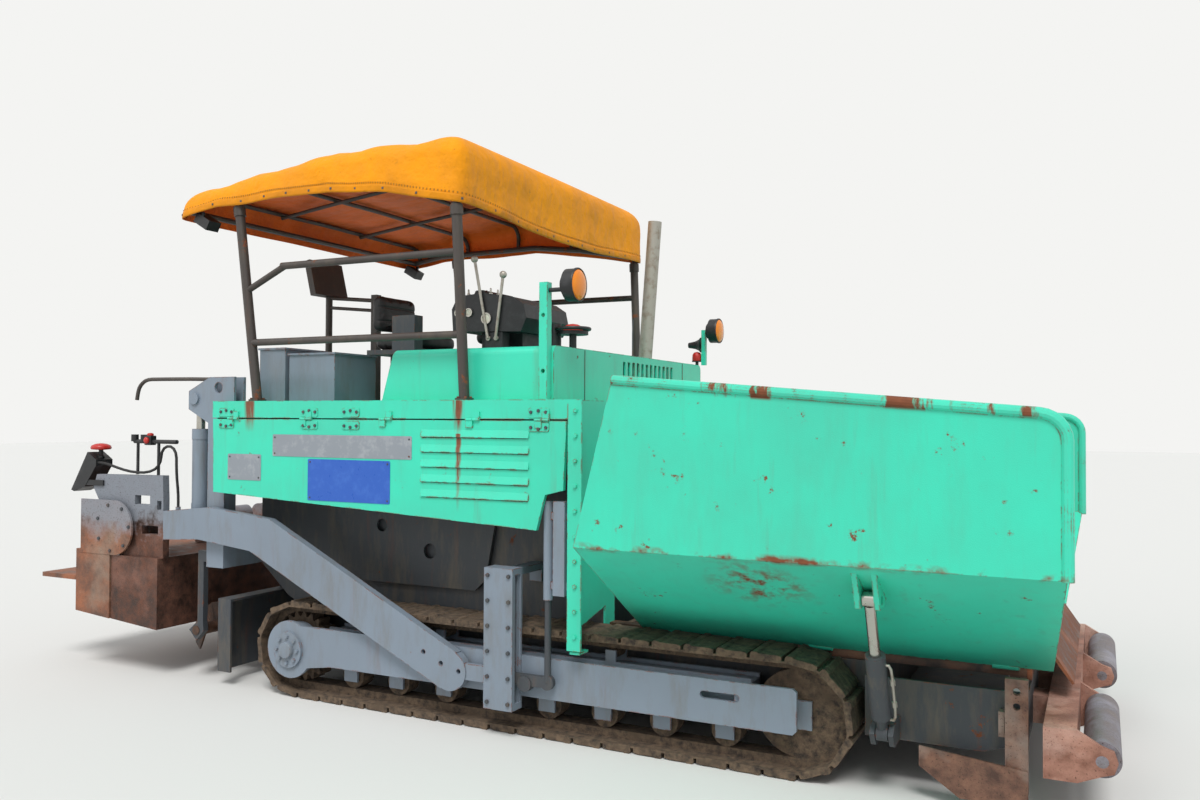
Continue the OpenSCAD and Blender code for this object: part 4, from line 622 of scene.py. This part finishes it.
class PAVER_OT_canopy(bpy.types.Operator):
    """Stretch the canopy sheet over its hoops, with sag between them, creases, a drooping valance and a sewn hem"""
    bl_idname = "paver.canopy"
    bl_label = "Canopy sheet"

    def execute(self, context):
        sizes = context.scene.paver_sizes
        points, heading = canopy_points(sizes.sag)
        shape = lattice(points, around=True)
        n, m = points.shape[:2]
        shape[1].append(list(range((n - 1) * m, n * m)))
        sheet = piece("canopy_sheet", shape, "canvas", smooth=70, closed=False)
        mesh = sheet.data
        uv = mesh.uv_layers.new(name="sheet")
        loops = np.empty(len(mesh.loops), int)
        mesh.loops.foreach_get("vertex_index", loops)
        fall = ROOF_TOP - points[..., 2:]
        uv.data.foreach_set("uv", (points[..., :2] + heading[None] * fall).reshape(-1, 2)[loops].ravel())
        # The inner shell gets the painted-shade copy of the canvas, darker and redder than the outside
        mesh.materials.append(finishes()["lining"])
        wall = sheet.modifiers.new("thickness", "SOLIDIFY")
        wall.thickness, wall.offset, wall.material_offset, wall.use_even_offset = 0.0025, -1, 1, True
        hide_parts("canopy_cover")
        outward = np.concatenate([heading, np.zeros((m, 1))], 1)
        share = sizes.hem / np.maximum(points[VALANCE - 1, :, 2] - points[0, :, 2], 0.01)
        top = points[0] + (points[VALANCE - 1] - points[0]) * share[:, None]
        rise = np.linspace(0, 1, 5)[:, None, None]
        band = points[0] + (top - points[0]) * rise + outward * (0.0012 + 0.002 * np.sin(np.pi * rise))
        hem = piece("canopy_hem", lattice(band, around=True), "hem", smooth=70, closed=False)
        fold = hem.modifiers.new("fold", "SOLIDIFY")
        fold.thickness, fold.offset = 0.0015, 1
        rows = [along_hem(points, heading, sizes.hem + above, 1, (0.008, 0.0018, 0.0032)) for above in (0.006, 0.012)]
        stitches = piece("canopy_stitches", merge(rows), "thread")
        holes = along_hem(points, heading, sizes.hem * 0.5, 12, (0.014, 0.014, 0.006))
        eyelets = piece("canopy_eyelets", holes, "iron", bevel=0.002)
        return {"FINISHED"}


def block_ball(low, high, around, across, turn=False):
    """A pillow between two corners: a sphere whose cosines and sines are raised to 0.35 in plan and 0.55 in
    height, turned on its side for a back."""
    tilt, about = np.linspace(-np.pi / 2, np.pi / 2, across), np.linspace(0, 2 * np.pi, around, endpoint=False)
    a, b = np.meshgrid(tilt, about, indexing="ij")
    a[0], a[-1] = -np.pi / 2 + 0.02, np.pi / 2 - 0.02
    square = [np.sign(v) * np.abs(v) ** e for v, e in ((np.cos(a), 0.35), (np.cos(b), 0.35), (np.sin(b), 0.35),
                                                       (np.sin(a), 0.55))]
    ball = np.stack([square[0] * square[1], square[0] * square[2], square[3]], -1)
    if turn:
        ball = ball[..., [2, 1, 0]] * np.array([1, 1, -1])
    low, high = np.asarray(low, float), np.asarray(high, float)
    return lattice((low + high) / 2 + ball * (high - low) / 2, around=True, cap=True)


def taken(made):
    """The mesh of an object after its modifiers, as of this frame."""
    return bpy.data.meshes.new_from_object(made.evaluated_get(bpy.context.evaluated_depsgraph_get()))


def coordinates(mesh):
    """The vertices of a mesh as an array."""
    out = np.empty(len(mesh.vertices) * 3)
    mesh.vertices.foreach_get("co", out)
    return out.reshape(-1, 3)


def puffed(pad, cap, pressure=4.0):
    """Swells a pad with Cloth under air pressure for 20 frames and keeps each point's move to at most cap."""
    skin = pad.modifiers.new("skin", "REMESH")
    skin.mode, skin.voxel_size = "VOXEL", 0.006
    pad.data = taken(pad)
    pad.modifiers.remove(skin)
    rest = coordinates(pad.data)
    cloth = pad.modifiers.new("air", "CLOTH")
    cloth.settings.use_pressure = True
    cloth.settings.uniform_pressure_force = pressure
    cloth.settings.effector_weights.gravity = 0
    for number in range(1, 21):
        bpy.context.scene.frame_set(number)
    swollen = taken(pad)
    pad.modifiers.remove(cloth)
    bpy.context.scene.frame_set(1)
    move = coordinates(swollen) - rest
    reach = np.linalg.norm(move, axis=1)[:, None]
    return swollen, rest + move * np.minimum(1, cap / np.maximum(reach, 1e-9))


class PAVER_OT_seats(bpy.types.Operator):
    """Model the two padded seats: squab and back swollen by air pressure, with sewn channels across them"""
    bl_idname = "paver.seats"
    bl_label = "Seats"

    def execute(self, context):
        seam, seam_depth, swell = 0.006, 0.005, 0.008
        pads = (("squab", (-0.838, 0.39, 2.176), (-0.432, 0.81, 2.27), 2, 0, (-0.72, -0.58)),
                ("back", (-0.852, 0.4, 2.29), (-0.768, 0.8, 2.528), 0, 2, (2.36, 2.45)))
        for part, low, high, thick, along, channels in pads:
            shape = block_ball(low, high, 64, 25, turn=part == "back")
            pad = piece(f"seat_{part}_left", shape, "vinyl", smooth=80)
            pad.data, points = puffed(pad, swell)
            depth = sum(np.exp(-((points[:, along] - line) / seam) ** 2) for line in channels) * seam_depth
            middle = (np.asarray(low) + np.asarray(high)) / 2
            points[:, thick] -= np.sign(points[:, thick] - middle[thick]) * depth
            if part == "squab":
                points[:, 2] = np.maximum(points[:, 2], SEAT_PAN)
            pad.data.vertices.foreach_set("co", points.ravel())
            pad.data.update()
            pad.data.polygons.foreach_set("use_smooth", np.ones(len(pad.data.polygons), bool))
            pad.modifiers.new("smooth", "SUBSURF").levels = 1
            other = bpy.data.objects.new(f"seat_{part}_right", pad.data.copy())
            context.scene.collection.objects.link(other)
            points = coordinates(other.data) * np.array([1, -1, 1])
            other.data.vertices.foreach_set("co", points.ravel())
            other.data.flip_normals()
            other.data.update()
            other.modifiers.new("smooth", "SUBSURF").levels = 1
            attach(other, "root")
            if part == "squab":
                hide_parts("seat_cushions")
        return {"FINISHED"}


def plate(x, z, y=DOOR_FACE, thick=0.0025, corner=0.006):
    """A thin sheet-metal plate on the right side, with cut corners, between two x and two z."""
    (left, right), (low, high) = x, z
    outline = np.array([(left, low + corner), (left + corner, low), (right - corner, low), (right, low + corner),
                        (right, high - corner), (right - corner, high), (left + corner, high), (left, high - corner)])
    rings = np.stack([np.column_stack([outline[:, 0], np.full(8, y - d), outline[:, 1]]) for d in (0, thick)])
    return lattice(rings, around=True, cap=True)


class PAVER_OT_plates(bpy.types.Operator):
    """Rivet the blank plates to the right door and screw catch plates about the gap over both doors"""
    bl_idname = "paver.plates"
    bl_label = "Plates and catches"

    def execute(self, context):
        signs = (("name_strip", (-1.224, -0.169), (1.5, 1.634), "strip"),
                 ("blue_panel", (-0.94, -0.322), (1.24, 1.489), "blue"),
                 ("grey_panel", (-1.601, -1.32), (1.345, 1.508), "strip"))
        rivets, inset, face = [], 0.018, DOOR_FACE - 0.0025
        for name, x, z, finish in signs:
            piece(name, plate(x, z), finish, "side_door_right", bevel=0.0006)
            rivets += [(a, face, b) for a in (x[0] + inset, x[1] - inset) for b in (z[0] + inset, z[1] - inset)]
        piece("sign_rivets", bolts(rivets, "y", 0.01, -0.003, 10), "iron", "side_door_right")
        for side, turn in SIDES:
            rows = (("upper", "root", (1.742, 1.796), 1.772, 1.78),
                    ("lower", f"side_door_{side}", (1.668, 1.719), 1.69, 1.682))
            middles, face = (-1.615, -0.93, -0.613, 0.663), DOOR_FACE - 0.005
            for row_name, body, z, _, _ in rows:
                plates = merge([plate((x - 0.064, x + 0.064), z, thick=0.005, corner=0.008) for x in middles])
                piece(f"catch_{row_name}_{side}", turn(plates), "mint", body, bevel=0.001)
            for row_name, body, _, outer, inner in rows:
                heads = [(x + d, face, z) for x in middles for d, z in ((-0.046, outer), (0.046, outer), (0, inner))]
                screws = turn(bolts(heads, "y", 0.017, -0.008))
                piece(f"catch_screws_{row_name}_{side}", screws, "iron", body)
        return {"FINISHED"}


class PAVER_OT_fasteners(bpy.types.Operator):
    """Bolt the hubs, tow guides, front posts, canopy post feet and screed covers"""
    bl_idname = "paver.fasteners"
    bl_label = "Fasteners"

    def execute(self, context):
        small = context.scene.paver_sizes.bolt * 0.7
        hub_x, hub_y, hub_z = HUB
        hub = bolts(circle((hub_x, -hub_y, hub_z), 0.082, 8), "y", small, -0.014)
        cap = turned([(0.052, 0.0), (0.052, 0.016), (0.046, 0.024), (0.02, 0.027), (0.004, 0.027)], HUB, "y", 28)
        guide = merge([bolts(row((x, DOOR_FACE - 0.005, 0.2), (x, DOOR_FACE - 0.005, 0.885), 6), "y", small, -0.012)
                       for x in (0.352, 0.484)])
        flange = bolts(row((0.885, DOOR_FACE, 0.6), (0.885, DOOR_FACE, 1.78), 10), "y", small, -0.012)
        feet = [(x + a, -1.188 + b, 1.852) for x in POSTS_X for a in (-0.026, 0.026) for b in (-0.026, 0.026)]
        feet = bolts(feet, "z", 0.014, 0.009)
        cover_bolts = bolts(circle((-2.66, -1.254, 0.985), 0.158, 7, start=-1.2), "y", small, -0.01)
        groups = (("hub_bolts", hub, "root", "grey"), ("hub_cap", mirrored(cap), "root", "grey"),
                  ("guide_bolts", guide, "root", "iron"), ("flange_bolts", flange, "root", "mint"),
                  ("post_foot_bolts", feet, "root", "rustbolt"), ("screed_cover_bolts", cover_bolts, "screed", "iron"))
        for name, shape, body, finish in groups:
            for side, turn in SIDES:
                piece(f"{name}_{side}", turn(shape), finish, body)
        return {"FINISHED"}


class PAVER_OT_lamps(bpy.types.Operator):
    """Glaze the work lamps: domed amber lenses in dark rims, and the small horn and red lamp by the far post"""
    bl_idname = "paver.lamps"
    bl_label = "Lamps"

    def execute(self, context):
        rim = [(0.08, 0.0), (0.0915, 0.0), (0.0915, 0.01), (0.089, 0.013), (0.085, 0.013), (0.08, 0.006)]
        dome = [(0.0845, 0.001), (0.084, 0.008), (0.076, 0.016), (0.058, 0.023), (0.035, 0.027), (0.012, 0.029)]
        for name, x, y, z in (("near", 0.836, -1.146, 2.457), ("far", 0.825, 1.1, 2.391)):
            piece(f"work_lamp_rim_{name}", closed_ring(rim, (x, y, z)), "plastic")
            piece(f"work_lamp_lens_{name}", turned(dome, (x, y, z), "x", 40), "amber", smooth=60)
        bell = [(0.02, -0.055), (0.024, -0.03), (0.03, 0.0), (0.044, 0.03), (0.056, 0.04), (0.056, 0.046),
                (0.04, 0.044), (0.012, 0.02)]
        horn = turned(bell, (0.65, 1.1, 2.29), "x", 32)
        clip = slab((0.64, 1.092, 2.262), (0.7, 1.108, 2.3))
        piece("signal_horn", merge([horn, clip]), "plastic", bevel=0.0015)
        place = (0.66, 1.1, 2.172)
        beacon = turned([(0.034, 0.0), (0.036, 0.006), (0.034, 0.045), (0.024, 0.062), (0.006, 0.068)], place, "z", 28)
        stand = turned([(0.012, -0.034), (0.012, -0.006), (0.038, -0.006), (0.038, 0.0)], place, "z", 24)
        piece("side_beacon_lens", beacon, "red", smooth=60)
        piece("side_beacon_foot", stand, "plastic")
        return {"FINISHED"}


class PAVER_OT_console(bpy.types.Operator):
    """Fit the operator's stand with gauges, toggles, and the steering rim with its red boss"""
    bl_idname = "paver.console"
    bl_label = "Console fittings"

    def execute(self, context):
        a = np.linspace(0, 2 * np.pi, 40, endpoint=False)
        rim = circle((*WHEEL, 2.275), 0.1, 40, "z")
        b = np.linspace(0, 2 * np.pi, 10, endpoint=False)
        outward = np.stack([np.cos(a), np.sin(a), np.zeros(40)], -1)
        section = outward[:, None] * np.cos(b)[None, :, None] + np.array([0, 0, 1.0]) * np.sin(b)[None, :, None]
        ring = rim[:, None] + 0.011 * section
        wheel = lattice(np.concatenate([ring, ring[:1]]), around=True)
        piece("steering_rim", wheel, "plastic", smooth=60)
        boss = [(0.06, 0.0), (0.06, 0.014), (0.05, 0.03), (0.03, 0.04), (0.006, 0.044)]
        piece("steering_boss", turned(boss, (*WHEEL, 2.262), "z", 32), "red", smooth=60)
        gauges, glass = [], []
        for x, z, r in ((0.065, 2.335, 0.034), (-0.06, 2.375, 0.026), (-0.135, 2.375, 0.026)):
            bezel = [(r - 0.006, 0.0), (r, 0.0), (r, -0.012), (r - 0.006, -0.012)]
            gauges.append(closed_ring(bezel, (x, -0.84, z), "y", 28))
            glass.append(turned([(r - 0.005, 0.0), (r - 0.005, -0.007), (0.003, -0.009)], (x, -0.84, z), "y", 28))
        piece("gauge_bezels", merge(gauges), "chrome")
        piece("gauge_glasses", merge(glass), "pale")
        toggle = [(0.012, 0.0), (0.012, 0.008), (0.007, 0.012), (0.006, 0.034), (0.002, 0.038)]
        toggles = [turned(toggle, (x, y, 2.49), "z", 16) for x in (-0.12, -0.04, 0.04) for y in (-0.76, -0.68)]
        piece("console_toggles", merge(toggles), "chrome")
        return {"FINISHED"}


class PAVER_OT_screed_controls(bpy.types.Operator):
    """Put the red buttons on the screed's control box and rail, and the bent display arm behind the near tower"""
    bl_idname = "paver.screed_controls"
    bl_label = "Screed controls and bent arm"

    def execute(self, context):
        stem = [(0.026, 0.0), (0.026, 0.014), (0.015, 0.02), (0.015, 0.058)]
        stem = turned(stem, (-2.905, -1.165, 1.452), "z", 24)
        cap = [(0.02, 0.0), (0.062, 0.004), (0.068, 0.014), (0.062, 0.03), (0.038, 0.042), (0.008, 0.046)]
        cap = turned(cap, (-2.905, -1.165, 1.506), "z", 36)
        piece("stop_button_stem", stem, "plastic", "screed")
        piece("stop_button_cap", cap, "red", "screed", smooth=60)
        switch = slab((-2.412, -1.216, 1.548), (-2.352, -1.164, 1.612))
        piece("rail_switch_body", switch, "plastic", "screed", bevel=0.006)
        top = [(0.02, 0.0), (0.022, 0.008), (0.016, 0.016), (0.004, 0.018)]
        top = turned(top, (-2.382, -1.19, 1.612), "z", 24)
        face = [(0.02, 0.0), (0.022, -0.01), (0.014, -0.018), (0.004, -0.02)]
        face = turned(face, (-2.382, -1.216, 1.58), "y", 24)
        piece("rail_switch_buttons", merge([top, face]), "red", "screed", smooth=60)
        bend = [(-1.93, 1.988), (-2.1, 1.992), (-2.3, 1.994), (-2.48, 1.995), (-2.515, 1.993), (-2.545, 1.986),
                (-2.571, 1.973), (-2.594, 1.954), (-2.608, 1.935), (-2.617, 1.912), (-2.624, 1.884), (-2.629, 1.854)]
        arm = tube([(x, -1.1, z) for x, z in bend], 0.013, 16)
        saddle = slab((-1.93, -1.131, 1.962), (-1.89, -1.069, 1.999))
        piece("bent_arm", arm, "tube", smooth=60)
        piece("bent_arm_saddle", saddle, "tube", bevel=0.003)
        return {"FINISHED"}


class PAVER_OT_pipes(bpy.types.Operator):
    """Run the thin oil pipes along the wing cylinders and set the hood's joint strips and rod aerial"""
    bl_idname = "paver.pipes"
    bl_label = "Pipes and joints"

    def execute(self, context):
        for side, name in ((-1, "right"), (1, "left")):
            foot, off = np.array([2.44, side * 1.15, 0.3]), np.array([1.0, 0.0, 0.0])
            ahead = np.array([0.0, side * 0.4138, 0.9104])
            runs = [(0.08, 0.04), (0.08, 0.056), (0.1, 0.064), (0.14, 0.066), (0.24, 0.066), (0.32, 0.066),
                    (0.36, 0.064), (0.38, 0.056), (0.38, 0.04)]
            shapes = [tube([foot + ahead * s + off * h for s, h in runs], 0.007, 12)]
            shapes += [tube([foot + ahead * (s + d) + off * 0.066 for d in (-0.014, 0.014)], 0.012, 6)
                       for s in (0.17, 0.29)]
            piece(f"wing_oil_pipe_{name}", merge(shapes), "pipe", f"wing_barrel_{name}", smooth=50)
        joints = [slab((0.68, y - 0.003, 1.846), (0.6825, y + 0.003, 2.134)) for y in (-0.754, 0.754)]
        piece("hood_joint_strips", merge(joints), "iron")
        aerial = merge([turned([(0.016, 0.0), (0.016, 0.01), (0.008, 0.02)], (0.56, 0.17, 2.14), "z", 16),
                        tube([(0.56, 0.17, 2.156), (0.56, 0.17, 2.3), (0.562, 0.17, 2.4)], 0.005, 8)])
        piece("rod_aerial", aerial, "iron")
        return {"FINISHED"}


STEPS = [PAVER_OT_stage, PAVER_OT_hose, PAVER_OT_finishes, PAVER_OT_canopy, PAVER_OT_seats, PAVER_OT_plates,
         PAVER_OT_fasteners, PAVER_OT_lamps, PAVER_OT_console, PAVER_OT_screed_controls, PAVER_OT_pipes]


class PAVER_PT_panel(bpy.types.Panel):
    """Lists the paver's sizes, colours and steps"""
    bl_idname = "PAVER_PT_panel"
    bl_label = "Paver"
    bl_space_type = "VIEW_3D"
    bl_region_type = "UI"
    bl_category = "Paver"

    def draw(self, context):
        for group in (context.scene.paver_sizes, context.scene.paver_colours):
            for name in group.__annotations__:
                self.layout.prop(group, name)
        for kind in STEPS:
            self.layout.operator(kind.bl_idname)


CLASSES = [PaverColours, PaverSizes] + STEPS + [PAVER_PT_panel]


def register():
    for kind in CLASSES:
        bpy.utils.register_class(kind)
    bpy.types.Scene.paver_colours = PointerProperty(type=PaverColours)
    bpy.types.Scene.paver_sizes = PointerProperty(type=PaverSizes)


def unregister():
    del bpy.types.Scene.paver_sizes
    del bpy.types.Scene.paver_colours
    for kind in reversed(CLASSES):
        bpy.utils.unregister_class(kind)


def main():
    register()
    calls = bpy.ops.paver
    for step in (calls.stage, calls.hose, calls.finishes, calls.canopy, calls.seats, calls.plates, calls.fasteners,
                 calls.lamps, calls.console, calls.screed_controls, calls.pipes):
        step()


if __name__ == "__main__":
    main()
